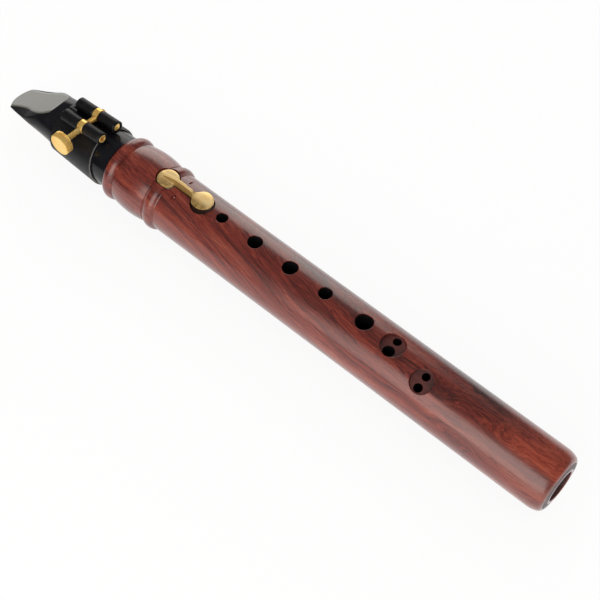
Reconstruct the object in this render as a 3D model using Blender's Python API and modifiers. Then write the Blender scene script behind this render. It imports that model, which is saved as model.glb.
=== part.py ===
"""Small clarinet in C with seven finger positions, a thumb hole and one sprung brass key.

The instrument lies on a surface with its finger holes up. Its bore runs along +X from the
mouthpiece to the foot. All shapes are drawn from the middle of the foot end: x is negative
towards the mouthpiece, y is across, z is up through the finger holes.
"""

import math

import bmesh
import bpy

MM = 0.001
FULL_TURN = 2 * math.pi

# Clearances
SEAT_GAP = 0.25 * MM
SLIP_GAP = 0.2 * MM
PIVOT_GAP = 0.08 * MM
OVERCUT = 2 * MM

# Facets of round pieces
BODY_FACETS = 48
HOLE_FACETS = 24
ROD_FACETS = 20

# Wooden body
BODY_LENGTH = 247.4 * MM
BODY_RADIUS = 14.5 * MM
BORE_RADIUS = 7.42 * MM

# Rounded foot of the body
FOOT_FLAT_WIDTH = 1.3 * MM
FOOT_BELLY_RADIUS = 11.8 * MM
FOOT_BELLY_ANGLE = math.radians(23)
FOOT_EDGE_RADIUS = 2.6 * MM
FOOT_DOME_ANGLE = math.radians(10)

# Turned rim, bulb and bead at the head of the body
RIM_PROUD = 1.65 * MM
RIM_FRONT_LENGTH = 3.1 * MM
RIM_FRONT_HEIGHT = 3.3 * MM
RIM_BACK_LENGTH = 3.0 * MM
RIM_BACK_HEIGHT = 1.9 * MM
RIM_GROOVE_WIDTH = 0.8 * MM
RIM_GROOVE_PROUD = 0.25 * MM
BULB_PROUD = 1.55 * MM
BULB_LENGTH = 18.6 * MM
BULB_DROP = 1.05 * MM
BEAD_PROUD = 1.52 * MM
BEAD_LENGTH = 5.5 * MM
BEAD_GROOVE_WIDTH = 0.9 * MM
BEAD_GROOVE_PROUD = 0.1 * MM
BEAD_HEEL_WIDTH = 0.5 * MM
BEAD_HEEL_DEPTH = 0.2 * MM

# Finger holes in line: distance from the foot and diameter
FINGER_HOLES = {
    "hole_1": (185.6 * MM, 5.4 * MM),
    "hole_2": (166.1 * MM, 6.85 * MM),
    "hole_3": (145.7 * MM, 7.2 * MM),
    "hole_4": (125.8 * MM, 6.25 * MM),
    "hole_5": (104.2 * MM, 8.15 * MM),
}

# Double holes: distance from the foot, turn towards the player's right hand, dish and bores
DOUBLE_HOLE_DISH_DEPTH = 1.0 * MM
DOUBLE_HOLES = {
    "hole_6": {"from_foot": 88.0 * MM, "turn": math.radians(3), "dish": 11.3 * MM,
               "large": 5.4 * MM, "small": 3.8 * MM, "spacing": 5.9 * MM},
    "hole_7": {"from_foot": 68.5 * MM, "turn": math.radians(26), "dish": 10.6 * MM,
               "large": 4.0 * MM, "small": 3.6 * MM, "spacing": 5.6 * MM},
}

# Thumb hole on the back
THUMB_HOLE_FROM_FOOT = 196.0 * MM
THUMB_HOLE_DIAMETER = 6.2 * MM

# Mouthpiece
MOUTHPIECE_REACH = 72.8 * MM
SHANK_RADIUS = 13.6 * MM
WAIST_RADIUS = 12.35 * MM
WAIST_FROM_TIP = 37.5 * MM
TIP_CONE_RADIUS = 9.73 * MM
TENON_LENGTH = 17.5 * MM
TENON_RADIUS = 11.25 * MM
TENON_LIP = 2.2 * MM
MOUTHPIECE_BORE_FRONT_RADIUS = 6.9 * MM
CORK_THICKNESS = 1.0 * MM

# Beak of the mouthpiece
BEAK_RISE = math.tan(math.radians(28.9))
BEAK_LENGTH = 30.2 * MM
SHOULDER_RISE = math.tan(math.radians(32))
SHOULDER_LENGTH = 5.6 * MM
TIP_RAIL_THICKNESS = 0.5 * MM
FACET_TIP_HALF_WIDTH = 6.3 * MM
FACET_WIDENING = 0.045
CHEEK_FLARE = math.tan(math.radians(22))
CHEEK_RELEASE = 1.3
EDGE_SHARPNESS = 14
TIP_HALF_WIDTH = 6.3 * MM
TIP_BOW = 2.1 * MM

# Table, lay and window of the mouthpiece
TABLE_DEPTH = 8.5 * MM
TABLE_END_FROM_SHOULDER = 4.4 * MM
LAY_LENGTH = 19.3 * MM
TIP_OPENING = 1.0 * MM
WINDOW_LENGTH = 32.6 * MM
WINDOW_HALF_WIDTH = 5.1 * MM
WINDOW_TOP_ROUNDING = 2.2 * MM
TIP_RAIL_LENGTH = 1.1 * MM
BAFFLE_SLOPE = 0.33
BAFFLE_CURVE = 2.1 / MM / 1000

# Reed
REED_LENGTH = 66.8 * MM
REED_HEEL_HALF_WIDTH = 5.7 * MM
REED_TIP_HALF_WIDTH = 6.2 * MM
REED_HEEL_THICKNESS = 2.8 * MM
REED_TIP_THICKNESS = 0.28 * MM
REED_VAMP_LENGTH = 33.5 * MM
REED_EDGE_SHARE = 0.62
REED_HEEL_BOW = 2.5 * MM

# Ligature band and its two sleeves
BAND_FROM_SHOULDER = 9.9 * MM
BAND_LENGTH = 25.0 * MM
BAND_THICKNESS = 1.0 * MM
BAND_REAR_SLANT = 4.0 * MM
SLEEVE_LENGTH = 24.9 * MM
SLEEVE_RADIUS = 3.05 * MM
SLEEVE_SPACING = 9.6 * MM
SLEEVE_SINK = 1.05 * MM
SLEEVE_TILT = math.radians(4.5)
SLEEVE_REAR_FROM_SCREW = 12.5 * MM
SLEEVE_NOTCH_WIDTH = 3.4 * MM
PIN_RADIUS = 2.0 * MM
PIN_COLLAR_RADIUS = 3.1 * MM
PIN_BORE_RADIUS = 1.15 * MM
PIN_BORE_DEPTH = 3.0 * MM
PIN_DOME_HEIGHT = 0.8 * MM

# Ligature screw
SCREW_FROM_SHOULDER = 19.85 * MM
SCREW_RADIUS = 1.35 * MM
SCREW_END_PROUD = 0.5 * MM
SCREW_HEAD_RADIUS = 5.4 * MM
SCREW_HEAD_HEIGHT = 4.0 * MM
SCREW_HEAD_STAND_OFF = 8.5 * MM
SCREW_NECK_RADIUS = 2.3 * MM
SCREW_NECK_LENGTH = 1.3 * MM
KNURL_COUNT = 40
KNURL_DEPTH = 0.25 * MM
HEAD_CHAMFER = 0.5 * MM

# Key, placed from the rim end of the body
PIVOT_FROM_RIM = 37.8 * MM
PIVOT_DEPTH = 1.35 * MM
CUP_FROM_PIVOT = 8.9 * MM
CUP_RADIUS = 5.15 * MM
CUP_THICKNESS = 1.35 * MM
CUP_BEVEL = 0.45 * MM
CUP_CLEARANCE = 0.45 * MM
PAD_RADIUS = 4.6 * MM
PAD_THICKNESS = 1.3 * MM
PAD_SEAT_DEPTH = 2.5 * MM
PAD_HOLE_RADIUS = 2.3 * MM
TOUCH_FROM_PIVOT = 12.1 * MM
TOUCH_RADIUS = 5.3 * MM
TOUCH_THICKNESS = 1.2 * MM
TOUCH_TOP_PROUD = 2.1 * MM
TOUCH_DOME = 0.35 * MM
TOUCH_RECESS_RADIUS = 5.75 * MM
TOUCH_RECESS_DEPTH = 2.3 * MM
ARM_TOP_PROUD = 4.0 * MM
ARM_HALF_WIDTH = 1.3 * MM
ARM_RIDGE_HALF_WIDTH = 0.45 * MM
ARM_HUB_WALL = 0.75 * MM
KEY_SLOT_CLEARANCE = 0.25 * MM
PIVOT_PIN_RADIUS = 0.6 * MM
PIVOT_PIN_INSET = 0.6 * MM

# Leaf spring under the key
SPRING_HALF_WIDTH = 1.0 * MM
SPRING_THICKNESS = 0.35 * MM
SPRING_ROOT_FROM_PIVOT = 3.4 * MM
SPRING_TIP_FROM_PIVOT = 13.9 * MM
RIVET_RADIUS = 0.45 * MM
RIVET_HEAD_RADIUS = 0.85 * MM
RIVET_HEAD_HEIGHT = 0.35 * MM
RIVET_FROM_PIVOT = 4.5 * MM
RIVET_DEPTH = 1.1 * MM

# Stations along the bore that several pieces share
RIM_X = -BODY_LENGTH
SHOULDER_X = RIM_X - SEAT_GAP
TIP_X = SHOULDER_X - MOUTHPIECE_REACH
TENON_END_X = SHOULDER_X + TENON_LENGTH
SOCKET_END_X = TENON_END_X + SEAT_GAP
SOCKET_RADIUS = TENON_RADIUS + SLIP_GAP
TABLE_END_X = SHOULDER_X - TABLE_END_FROM_SHOULDER
REED_FACE_Z = -TABLE_DEPTH - SEAT_GAP
BAND_REAR_X = SHOULDER_X - BAND_FROM_SHOULDER
BAND_FRONT_X = BAND_REAR_X - BAND_LENGTH
SCREW_X = SHOULDER_X - SCREW_FROM_SHOULDER
SLEEVE_REAR_X = SCREW_X + SLEEVE_REAR_FROM_SCREW
SLEEVE_FRONT_X = SLEEVE_REAR_X - SLEEVE_LENGTH
PIVOT_X = RIM_X + PIVOT_FROM_RIM
PIVOT_Z = BODY_RADIUS - PIVOT_DEPTH
CUP_X = PIVOT_X - CUP_FROM_PIVOT
TOUCH_X = PIVOT_X + TOUCH_FROM_PIVOT
PAD_SEAT_Z = BODY_RADIUS - PAD_SEAT_DEPTH
PAD_TOP_Z = PAD_SEAT_Z + SEAT_GAP + PAD_THICKNESS
CUP_BASE_Z = PAD_TOP_Z + SEAT_GAP
CUP_TOP_Z = CUP_BASE_Z + CUP_THICKNESS
TOUCH_TOP_Z = BODY_RADIUS + TOUCH_TOP_PROUD
TOUCH_BASE_Z = TOUCH_TOP_Z - TOUCH_THICKNESS
TOUCH_FLOOR_Z = BODY_RADIUS - TOUCH_RECESS_DEPTH
ARM_TOP_Z = BODY_RADIUS + ARM_TOP_PROUD
PIVOT_HOLE_RADIUS = PIVOT_PIN_RADIUS + PIVOT_GAP
HUB_RADIUS = PIVOT_HOLE_RADIUS + ARM_HUB_WALL
SLOT_FLOOR_Z = PIVOT_Z - HUB_RADIUS - KEY_SLOT_CLEARANCE
SLOT_HALF_WIDTH = ARM_HALF_WIDTH + KEY_SLOT_CLEARANCE


def mix(a, b, share):
    return a + (b - a) * share


def waist_x():
    return TIP_X + WAIST_FROM_TIP


def mouthpiece_radius(x):
    """Radius of the mouthpiece's round body: a slow taper to the waist, then a quicker one to the tip."""
    if x > waist_x():
        return mix(WAIST_RADIUS, SHANK_RADIUS, (x - waist_x()) / (SHOULDER_X - waist_x()))
    return mix(TIP_CONE_RADIUS, WAIST_RADIUS, (x - TIP_X) / (waist_x() - TIP_X))


def band_inner_radius(x):
    return mouthpiece_radius(x) + SEAT_GAP


def band_middle_outer_radius():
    return band_inner_radius(SCREW_X) + BAND_THICKNESS


SLEEVE_Y = SLEEVE_SPACING / 2
SLEEVE_Z = math.sqrt((band_middle_outer_radius() + SLEEVE_RADIUS - SLEEVE_SINK) ** 2 - SLEEVE_Y**2)
SLEEVE_SLOPE = math.tan(SLEEVE_TILT)
SLEEVE_BORE_RADIUS = PIN_RADIUS + SEAT_GAP
SCREW_FAR_Y = SLEEVE_Y + SLEEVE_RADIUS + SCREW_END_PROUD
SCREW_HEAD_BACK_Y = -SLEEVE_Y - SLEEVE_RADIUS - SCREW_HEAD_STAND_OFF
SCREW_HEAD_FRONT_Y = SCREW_HEAD_BACK_Y - SCREW_HEAD_HEIGHT

# Where the instrument's axis lies, so that the origin is under the middle of its outline
GREATEST_RADIUS = BODY_RADIUS + max(RIM_PROUD, BULB_PROUD, BEAD_PROUD)
FOOT_PLACE = (-TIP_X / 2, -(GREATEST_RADIUS + SCREW_HEAD_FRONT_Y) / 2, GREATEST_RADIUS)

PARTS = bpy.data.collections.new("small_clarinet")
CUTTERS = bpy.data.collections.new("cutters")


def clear_scene():
    for thing in list(bpy.data.objects):
        bpy.data.objects.remove(thing, do_unlink=True)


def make_material(name, colour, roughness, metallic=0.0):
    material = bpy.data.materials.new(name)
    material.use_nodes = True
    shader = material.node_tree.nodes["Principled BSDF"]
    shader.inputs["Base Color"].default_value = (*colour, 1.0)
    shader.inputs["Roughness"].default_value = roughness
    shader.inputs["Metallic"].default_value = metallic
    return material


def make_empty(name, place, parent=None):
    empty = bpy.data.objects.new(name, None)
    empty.location = place
    empty.parent = parent
    empty.empty_display_size = 5 * MM
    PARTS.objects.link(empty)
    return empty


def make_object(name, bm, parent, collection=PARTS):
    """An object from a bmesh drawn from the foot end, whose own origin lies on its parent's."""
    mesh = bpy.data.meshes.new(name)
    offset = parent.location if parent.parent else (0, 0, 0)
    bmesh.ops.translate(bm, verts=bm.verts, vec=[-value for value in offset])
    bm.to_mesh(mesh)
    bm.free()
    thing = bpy.data.objects.new(name, mesh)
    thing.parent = parent
    collection.objects.link(thing)
    if collection is CUTTERS:
        thing.hide_render = True
        thing.display_type = "WIRE"
    return thing


def finish(thing, material, crease=35):
    """Gives a piece its material and smooth shading with its real edges kept."""
    thing.data.materials.append(material)
    thing.data.shade_smooth()
    thing.data.set_sharp_from_angle(angle=math.radians(crease))
    return thing


def arc(centre_x, centre_r, length, height, first, last, count):
    """Points along an elliptical arc, from one angle to another in degrees."""
    points = []
    for index in range(count + 1):
        angle = math.radians(mix(first, last, index / count))
        points.append((centre_x + length * math.cos(angle), centre_r + height * math.sin(angle)))
    return points


def turned(name, profile, parent, facets, closed, collection=PARTS):
    """A piece turned about the bore's axis: (x, radius) points, down the outer side from the foot end."""
    bm = bmesh.new()
    verts = [bm.verts.new((radius, 0, x)) for x, radius in profile]
    for first, second in zip(verts, verts[1:]):
        bm.edges.new((first, second))
    if closed:
        bm.edges.new((verts[-1], verts[0]))
    mesh = bpy.data.meshes.new(name)
    bm.to_mesh(mesh)
    bm.free()
    thing = bpy.data.objects.new(name, mesh)
    thing.parent = parent
    thing.rotation_euler = (0, math.pi / 2, 0)
    collection.objects.link(thing)
    screw = thing.modifiers.new("turning", "SCREW")
    screw.axis = "Z"
    screw.angle = FULL_TURN
    screw.steps = facets
    screw.render_steps = facets
    screw.use_merge_vertices = True
    screw.merge_threshold = 0.00001
    screw.use_smooth_shade = True
    return thing


def cylinder(radius, start, end, facets, end_radius=None):
    """A bmesh cylinder or cone between two points."""
    bm = bmesh.new()
    span = [last - first for first, last in zip(start, end)]
    depth = math.sqrt(sum(value * value for value in span))
    bmesh.ops.create_cone(
        bm, cap_ends=True, segments=facets, radius1=radius,
        radius2=radius if end_radius is None else end_radius, depth=depth,
    )
    tilt = math.acos(span[2] / depth)
    heading = math.atan2(span[1], span[0])
    middle = [(first + last) / 2 for first, last in zip(start, end)]
    for vert in bm.verts:
        x, y, z = vert.co
        x, z = x * math.cos(tilt) + z * math.sin(tilt), z * math.cos(tilt) - x * math.sin(tilt)
        x, y = x * math.cos(heading) - y * math.sin(heading), y * math.cos(heading) + x * math.sin(heading)
        vert.co = (x + middle[0], y + middle[1], z + middle[2])
    return bm


def block(low, high):
    """A bmesh box between two corners."""
    bm = bmesh.new()
    bmesh.ops.create_cube(bm, size=1)
    for vert in bm.verts:
        vert.co = [mix(first, last, value + 0.5) for first, last, value in zip(low, high, vert.co)]
    return bm


def skin(rings):
    """A bmesh closed body stretched over rings of points that match one for one."""
    bm = bmesh.new()
    loops = [[bm.verts.new(point) for point in ring] for ring in rings]
    count = len(loops[0])
    for lower, upper in zip(loops, loops[1:]):
        for index in range(count):
            after = (index + 1) % count
            bm.faces.new((lower[index], lower[after], upper[after], upper[index]))
    bm.faces.new(loops[0])
    bm.faces.new(loops[-1])
    bmesh.ops.recalc_face_normals(bm, faces=bm.faces)
    return bm


def plate(outline, low, high, axis):
    """A bmesh plate: a flat outline, given in the two other axes, between two values on one axis."""
    rings = []
    for level in (low, high):
        ring = []
        for first, second in outline:
            point = [first, second]
            point.insert(axis, level)
            ring.append(point)
        rings.append(ring)
    return skin(rings)


def boolean(thing, cutter, operation="DIFFERENCE"):
    """Adds a cutter to the piece's one union or one difference, whose operands share a collection."""
    name = f"{thing.name}_{operation.lower()}"
    group = bpy.data.collections.get(name)
    if group is None:
        group = bpy.data.collections.new(name)
        CUTTERS.children.link(group)
        modifier = thing.modifiers.new(name, "BOOLEAN")
        modifier.operation = operation
        modifier.solver = "EXACT"
        modifier.operand_type = "COLLECTION"
        modifier.collection = group
    group.objects.link(cutter)
    CUTTERS.objects.unlink(cutter)


def cut(thing, bm, name, parent):
    boolean(thing, make_object(name, bm, parent, CUTTERS))


def join(thing, bm, name, parent):
    boolean(thing, make_object(name, bm, parent, CUTTERS), "UNION")


def foot_profile():
    """Rounded foot end, from the flat ring at the bore out to the straight body."""
    flat_radius = BORE_RADIUS + FOOT_FLAT_WIDTH
    edge_top = BODY_RADIUS - FOOT_BELLY_RADIUS * (1 - math.cos(FOOT_BELLY_ANGLE))
    belly = FOOT_BELLY_ANGLE
    dome = math.pi / 2 - FOOT_DOME_ANGLE
    edge_bottom = edge_top - FOOT_EDGE_RADIUS * (math.cos(belly) - math.cos(dome))
    x = -(edge_bottom - flat_radius) * math.tan(FOOT_DOME_ANGLE)
    points = [(0.0, BORE_RADIUS), (0.0, flat_radius), (x, edge_bottom)]
    steps = 6
    for index in range(1, steps + 1):
        angle = mix(dome, belly, index / steps)
        points.append((
            x - FOOT_EDGE_RADIUS * (math.sin(dome) - math.sin(angle)),
            edge_top - FOOT_EDGE_RADIUS * (math.cos(belly) - math.cos(angle)),
        ))
    x = points[-1][0]
    steps = 4
    for index in range(1, steps + 1):
        angle = mix(belly, 0, index / steps)
        points.append((
            x - FOOT_BELLY_RADIUS * (math.sin(belly) - math.sin(angle)),
            BODY_RADIUS - FOOT_BELLY_RADIUS * (1 - math.cos(angle)),
        ))
    return points


def head_profile():
    """Bead, bulb and rim, from the straight body to the rim's face."""
    rim_x = RIM_X + RIM_FRONT_LENGTH
    rim_top = BODY_RADIUS + RIM_PROUD
    rim_back_end = arc(rim_x, rim_top - RIM_BACK_HEIGHT, RIM_BACK_LENGTH, RIM_BACK_HEIGHT, 25, 90, 5)
    groove_x = rim_back_end[0][0] + RIM_GROOVE_WIDTH / 2
    bulb_front_x = groove_x + RIM_GROOVE_WIDTH / 2
    bulb_x = bulb_front_x + BULB_LENGTH / 2
    bulb_back_x = bulb_front_x + BULB_LENGTH
    bead_front_x = bulb_back_x + BEAD_GROOVE_WIDTH
    bead_x = bead_front_x + BEAD_LENGTH / 2
    bead_back_x = bead_front_x + BEAD_LENGTH
    bead_foot = BODY_RADIUS - BEAD_HEEL_DEPTH
    bead_top = BODY_RADIUS + BEAD_PROUD
    points = [(bead_back_x + 2 * BEAD_HEEL_WIDTH, BODY_RADIUS), (bead_back_x + BEAD_HEEL_WIDTH, bead_foot)]
    points += arc(bead_x, bead_foot, BEAD_LENGTH / 2, bead_top - bead_foot, 8, 172, 14)
    points.append((bulb_back_x + BEAD_GROOVE_WIDTH / 2, BODY_RADIUS + BEAD_GROOVE_PROUD))
    steps = 12
    for index in range(steps + 1):
        share = mix(1, -1, index / steps)
        points.append((bulb_x + share * BULB_LENGTH / 2, BODY_RADIUS + BULB_PROUD - BULB_DROP * share * share))
    points.append((groove_x, BODY_RADIUS + RIM_GROOVE_PROUD))
    points += rim_back_end
    points += arc(rim_x, rim_top - RIM_FRONT_HEIGHT, RIM_FRONT_LENGTH, RIM_FRONT_HEIGHT, 90, 180, 8)[1:]
    return points


def make_body(parent, material):
    profile = foot_profile() + head_profile()
    profile += [(RIM_X, SOCKET_RADIUS), (SOCKET_END_X, SOCKET_RADIUS), (SOCKET_END_X, BORE_RADIUS)]
    body = turned("wooden_body", profile, parent, BODY_FACETS, closed=True)
    outside = GREATEST_RADIUS + OVERCUT
    for name, (from_foot, diameter) in FINGER_HOLES.items():
        hole = cylinder(diameter / 2, (-from_foot, 0, 0), (-from_foot, 0, outside), HOLE_FACETS)
        cut(body, hole, f"cutter_{name}", parent)
    for name, hole in DOUBLE_HOLES.items():
        cut_double_hole(body, name, hole, outside, parent)
    thumb = cylinder(
        THUMB_HOLE_DIAMETER / 2, (-THUMB_HOLE_FROM_FOOT, 0, 0), (-THUMB_HOLE_FROM_FOOT, 0, -outside), HOLE_FACETS
    )
    cut(body, thumb, "cutter_thumb_hole", parent)
    cut_key_recesses(body, outside, parent)
    return finish(body, material)


def cut_double_hole(body, name, hole, outside, parent):
    """A shallow dish with two bores side by side in it, all turned about the body's axis."""
    across = (0, math.cos(hole["turn"]), math.sin(hole["turn"]))
    up = (0, -math.sin(hole["turn"]), math.cos(hole["turn"]))

    def point(side, height):
        return (-hole["from_foot"], across[1] * side + up[1] * height, across[2] * side + up[2] * height)

    floor = math.sqrt(BODY_RADIUS**2 - (hole["dish"] / 2) ** 2) - DOUBLE_HOLE_DISH_DEPTH / 2
    dish = cylinder(hole["dish"] / 2, point(0, floor), point(0, outside), HOLE_FACETS)
    cut(body, dish, f"cutter_{name}_dish", parent)
    for size, share in (("large", -0.5), ("small", 0.5)):
        side = share * hole["spacing"]
        bore = cylinder(hole[size] / 2, point(side, 0), point(side, outside), HOLE_FACETS)
        cut(body, bore, f"cutter_{name}_{size}", parent)


def cut_key_recesses(body, outside, parent):
    """Round recesses for the pad cup and the touch, the arm's slot, the pin's hole and the key's tone hole."""
    recess = cylinder(CUP_RADIUS + CUP_CLEARANCE, (CUP_X, 0, PAD_SEAT_Z), (CUP_X, 0, outside), 2 * HOLE_FACETS)
    cut(body, recess, "cutter_cup_recess", parent)
    recess = cylinder(TOUCH_RECESS_RADIUS, (TOUCH_X, 0, TOUCH_FLOOR_Z), (TOUCH_X, 0, outside), 2 * HOLE_FACETS)
    cut(body, recess, "cutter_touch_recess", parent)
    slot = block((CUP_X, -SLOT_HALF_WIDTH, SLOT_FLOOR_Z), (TOUCH_X, SLOT_HALF_WIDTH, outside))
    slot_front = CUP_X + CUP_RADIUS - CUP_CLEARANCE
    slot_back = PIVOT_X + SPRING_ROOT_FROM_PIVOT + (TOUCH_FROM_PIVOT - SPRING_ROOT_FROM_PIVOT) / 2
    for vert in slot.verts:
        if vert.co.z < PIVOT_Z:
            vert.co.x = slot_front if vert.co.x < PIVOT_X else slot_back
    cut(body, slot, "cutter_arm_slot", parent)
    tone_hole = cylinder(PAD_HOLE_RADIUS, (CUP_X, 0, 0), (CUP_X, 0, outside), HOLE_FACETS)
    cut(body, tone_hole, "cutter_pad_hole", parent)
    pin_hole = cylinder(
        PIVOT_HOLE_RADIUS, (PIVOT_X, -BODY_RADIUS, PIVOT_Z), (PIVOT_X, BODY_RADIUS, PIVOT_Z), ROD_FACETS
    )
    cut(body, pin_hole, "cutter_pin_hole", parent)


def beak_height(x):
    """Height of the beak's facet over the bore's axis: a straight rise, then a steeper shoulder."""
    tip_height = -TABLE_DEPTH + TIP_OPENING + TIP_RAIL_THICKNESS
    along = x - TIP_X
    height = tip_height + BEAK_RISE * along
    if along > BEAK_LENGTH:
        height += (SHOULDER_RISE - BEAK_RISE) * (along - BEAK_LENGTH)
    if along > BEAK_LENGTH + SHOULDER_LENGTH:
        height += SHANK_RADIUS
    return height


def facet_half_width(x):
    along = x - TIP_X
    width = FACET_TIP_HALF_WIDTH + FACET_WIDENING * along
    if along > BEAK_LENGTH:
        width += CHEEK_RELEASE * (along - BEAK_LENGTH)
    return width


def mouthpiece_ring(x, facets):
    """Section of the mouthpiece's outside: a circle cut by the beak and by two flared cheeks, with soft edges."""
    radius = mouthpiece_radius(x)
    top = beak_height(x)
    width = facet_half_width(x)
    centre = min(0.0, (top - radius) / 2)
    ring = []
    for index in range(facets):
        angle = FULL_TURN * index / facets
        side, rise = math.cos(angle), math.sin(angle)
        reaches = [-centre * rise + math.sqrt(radius**2 - (centre * side) ** 2)]
        if rise > 0:
            reaches.append((top - centre) / rise)
        spread = abs(side) + CHEEK_FLARE * rise
        if spread > 0.05:
            reaches.append((width + CHEEK_FLARE * (top - centre)) / spread)
        shortest = min(reaches)
        blend = sum((shortest / reach) ** EDGE_SHARPNESS for reach in reaches if reach > 0)
        reach = shortest * blend ** (-1 / EDGE_SHARPNESS)
        ring.append((x, reach * side, centre + reach * rise))
    return ring


def beak_stations():
    """Stations of the mouthpiece's sections, from beyond the tip to the shoulder."""
    stations = [TIP_X - 1 * MM + 3 * MM * index for index in range(11)]
    stations += [TIP_X + BEAK_LENGTH + SHOULDER_LENGTH * share for share in (0, 0.2, 0.4, 0.6, 0.8, 0.97, 1.05)]
    stations += [mix(TIP_X + BEAK_LENGTH + SHOULDER_LENGTH, SHOULDER_X, share) for share in (0.15, 0.55, 1)]
    return stations


def lay_height(x):
    """Height of the reed's table: flat, then curving away from the reed towards the tip."""
    past = max(0.0, TIP_X + LAY_LENGTH - x)
    return -TABLE_DEPTH + TIP_OPENING * (past / LAY_LENGTH) ** 2


def tip_arc(half_width, bow, count):
    """(x, y) points of the bowed tip, whose middle is at the tip's station."""
    radius = (half_width**2 + bow**2) / (2 * bow)
    spread = math.asin(half_width / radius)
    points = []
    for index in range(count + 1):
        angle = mix(-spread, spread, index / count)
        points.append((TIP_X + radius * (1 - math.cos(angle)), radius * math.sin(angle)))
    return points


def window_rings():
    """Sections of the chamber, open below through the window and closed above by the sloping baffle."""
    front = TIP_X + TIP_RAIL_LENGTH
    rear = front + WINDOW_LENGTH
    below = -SHANK_RADIUS - OVERCUT
    rings = []
    stations = [front + (rear - front) * index / 8 for index in range(9)] + [rear + 3 * MM]
    for x in stations:
        along = x - front
        top = lay_height(x) + SLIP_GAP + BAFFLE_SLOPE * along + BAFFLE_CURVE * along**2
        rounding = min(WINDOW_TOP_ROUNDING, 0.4 * (top - lay_height(x)) + 0.05 * MM)
        bottom = below if x <= rear else -MOUTHPIECE_BORE_FRONT_RADIUS
        ring = [(x, -WINDOW_HALF_WIDTH, bottom), (x, WINDOW_HALF_WIDTH, bottom)]
        for angle in (0, 30, 60, 90):
            ring.append((
                x,
                WINDOW_HALF_WIDTH - rounding * (1 - math.cos(math.radians(angle))),
                top - rounding * (1 - math.sin(math.radians(angle))),
            ))
        ring += [(x, -y, z) for _, y, z in reversed(ring[2:])]
        rings.append(ring)
        if x == rear:
            rings.append([(rear + 0.05 * MM, y, max(z, -MOUTHPIECE_BORE_FRONT_RADIUS)) for _, y, z in ring])
    return rings


def make_mouthpiece(parent, material):
    mouthpiece = make_object(
        "mouthpiece", skin([mouthpiece_ring(x, BODY_FACETS) for x in beak_stations()]), parent
    )
    # The tenon overlaps the shank, so that the union has no shared face
    groove_radius = TENON_RADIUS - CORK_THICKNESS - SLIP_GAP
    inside = SHOULDER_X - TENON_LENGTH / 4
    profile = [
        (TENON_END_X, 0), (TENON_END_X, TENON_RADIUS), (TENON_END_X - TENON_LIP, TENON_RADIUS),
        (TENON_END_X - TENON_LIP, groove_radius), (SHOULDER_X + TENON_LIP, groove_radius),
        (SHOULDER_X + TENON_LIP, TENON_RADIUS), (inside, TENON_RADIUS), (inside, 0),
    ]
    tenon = turned("cutter_tenon", profile, parent, BODY_FACETS, closed=False, collection=CUTTERS)
    tenon.hide_render = True
    tenon.display_type = "WIRE"
    boolean(mouthpiece, tenon, "UNION")
    bore_front = TIP_X + TIP_RAIL_LENGTH + WINDOW_LENGTH - 1 * MM
    bore = cylinder(
        MOUTHPIECE_BORE_FRONT_RADIUS, (bore_front, 0, 0), (TENON_END_X + OVERCUT, 0, 0), BODY_FACETS, BORE_RADIUS
    )
    cut(mouthpiece, bore, "cutter_mouthpiece_bore", parent)
    table = [(TABLE_END_X, -TABLE_DEPTH), (TABLE_END_X, -SHANK_RADIUS - OVERCUT)]
    table += [(TIP_X - OVERCUT, -SHANK_RADIUS - OVERCUT)]
    steps = 8
    table += [(x, lay_height(x)) for x in
              (mix(TIP_X - OVERCUT, TIP_X + LAY_LENGTH, index / steps) for index in range(steps + 1))]
    reach = SHANK_RADIUS + OVERCUT
    cut(mouthpiece, plate(table, -reach, reach, 1), "cutter_table", parent)
    cut(mouthpiece, skin(window_rings()), "cutter_window", parent)
    bow = tip_arc(TIP_HALF_WIDTH, TIP_BOW, 12)
    corner_x = bow[0][0]
    tip = bow + [
        (corner_x + TIP_BOW, reach), (TIP_X - 2 * OVERCUT, reach),
        (TIP_X - 2 * OVERCUT, -reach), (corner_x + TIP_BOW, -reach),
    ]
    cut(mouthpiece, plate(tip, -reach, reach, 2), "cutter_tip", parent)
    return finish(mouthpiece, material)


def make_tenon_cork(parent, material):
    start = TENON_END_X - TENON_LIP - SLIP_GAP
    end = SHOULDER_X + TENON_LIP + SLIP_GAP
    inner = TENON_RADIUS - CORK_THICKNESS
    profile = [(start, inner), (start, TENON_RADIUS), (end, TENON_RADIUS), (end, inner)]
    return finish(turned("tenon_cork", profile, parent, BODY_FACETS, closed=True), material)


def reed_ring(x, half_width, steps=8):
    """Section of the reed: flat against the table, thickest in the middle of its back."""
    from_tip = x - TIP_X
    share = min(1.0, max(0.0, from_tip / REED_VAMP_LENGTH))
    thickness = mix(REED_TIP_THICKNESS, REED_HEEL_THICKNESS, share**1.2)
    ring = [(x, -half_width, REED_FACE_Z), (x, half_width, REED_FACE_Z)]
    for index in range(steps + 1):
        across = mix(1, -1, index / steps)
        depth = thickness * (1 - (1 - REED_EDGE_SHARE) * across**2)
        ring.append((x, half_width * across, REED_FACE_Z - depth))
    return ring


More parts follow.
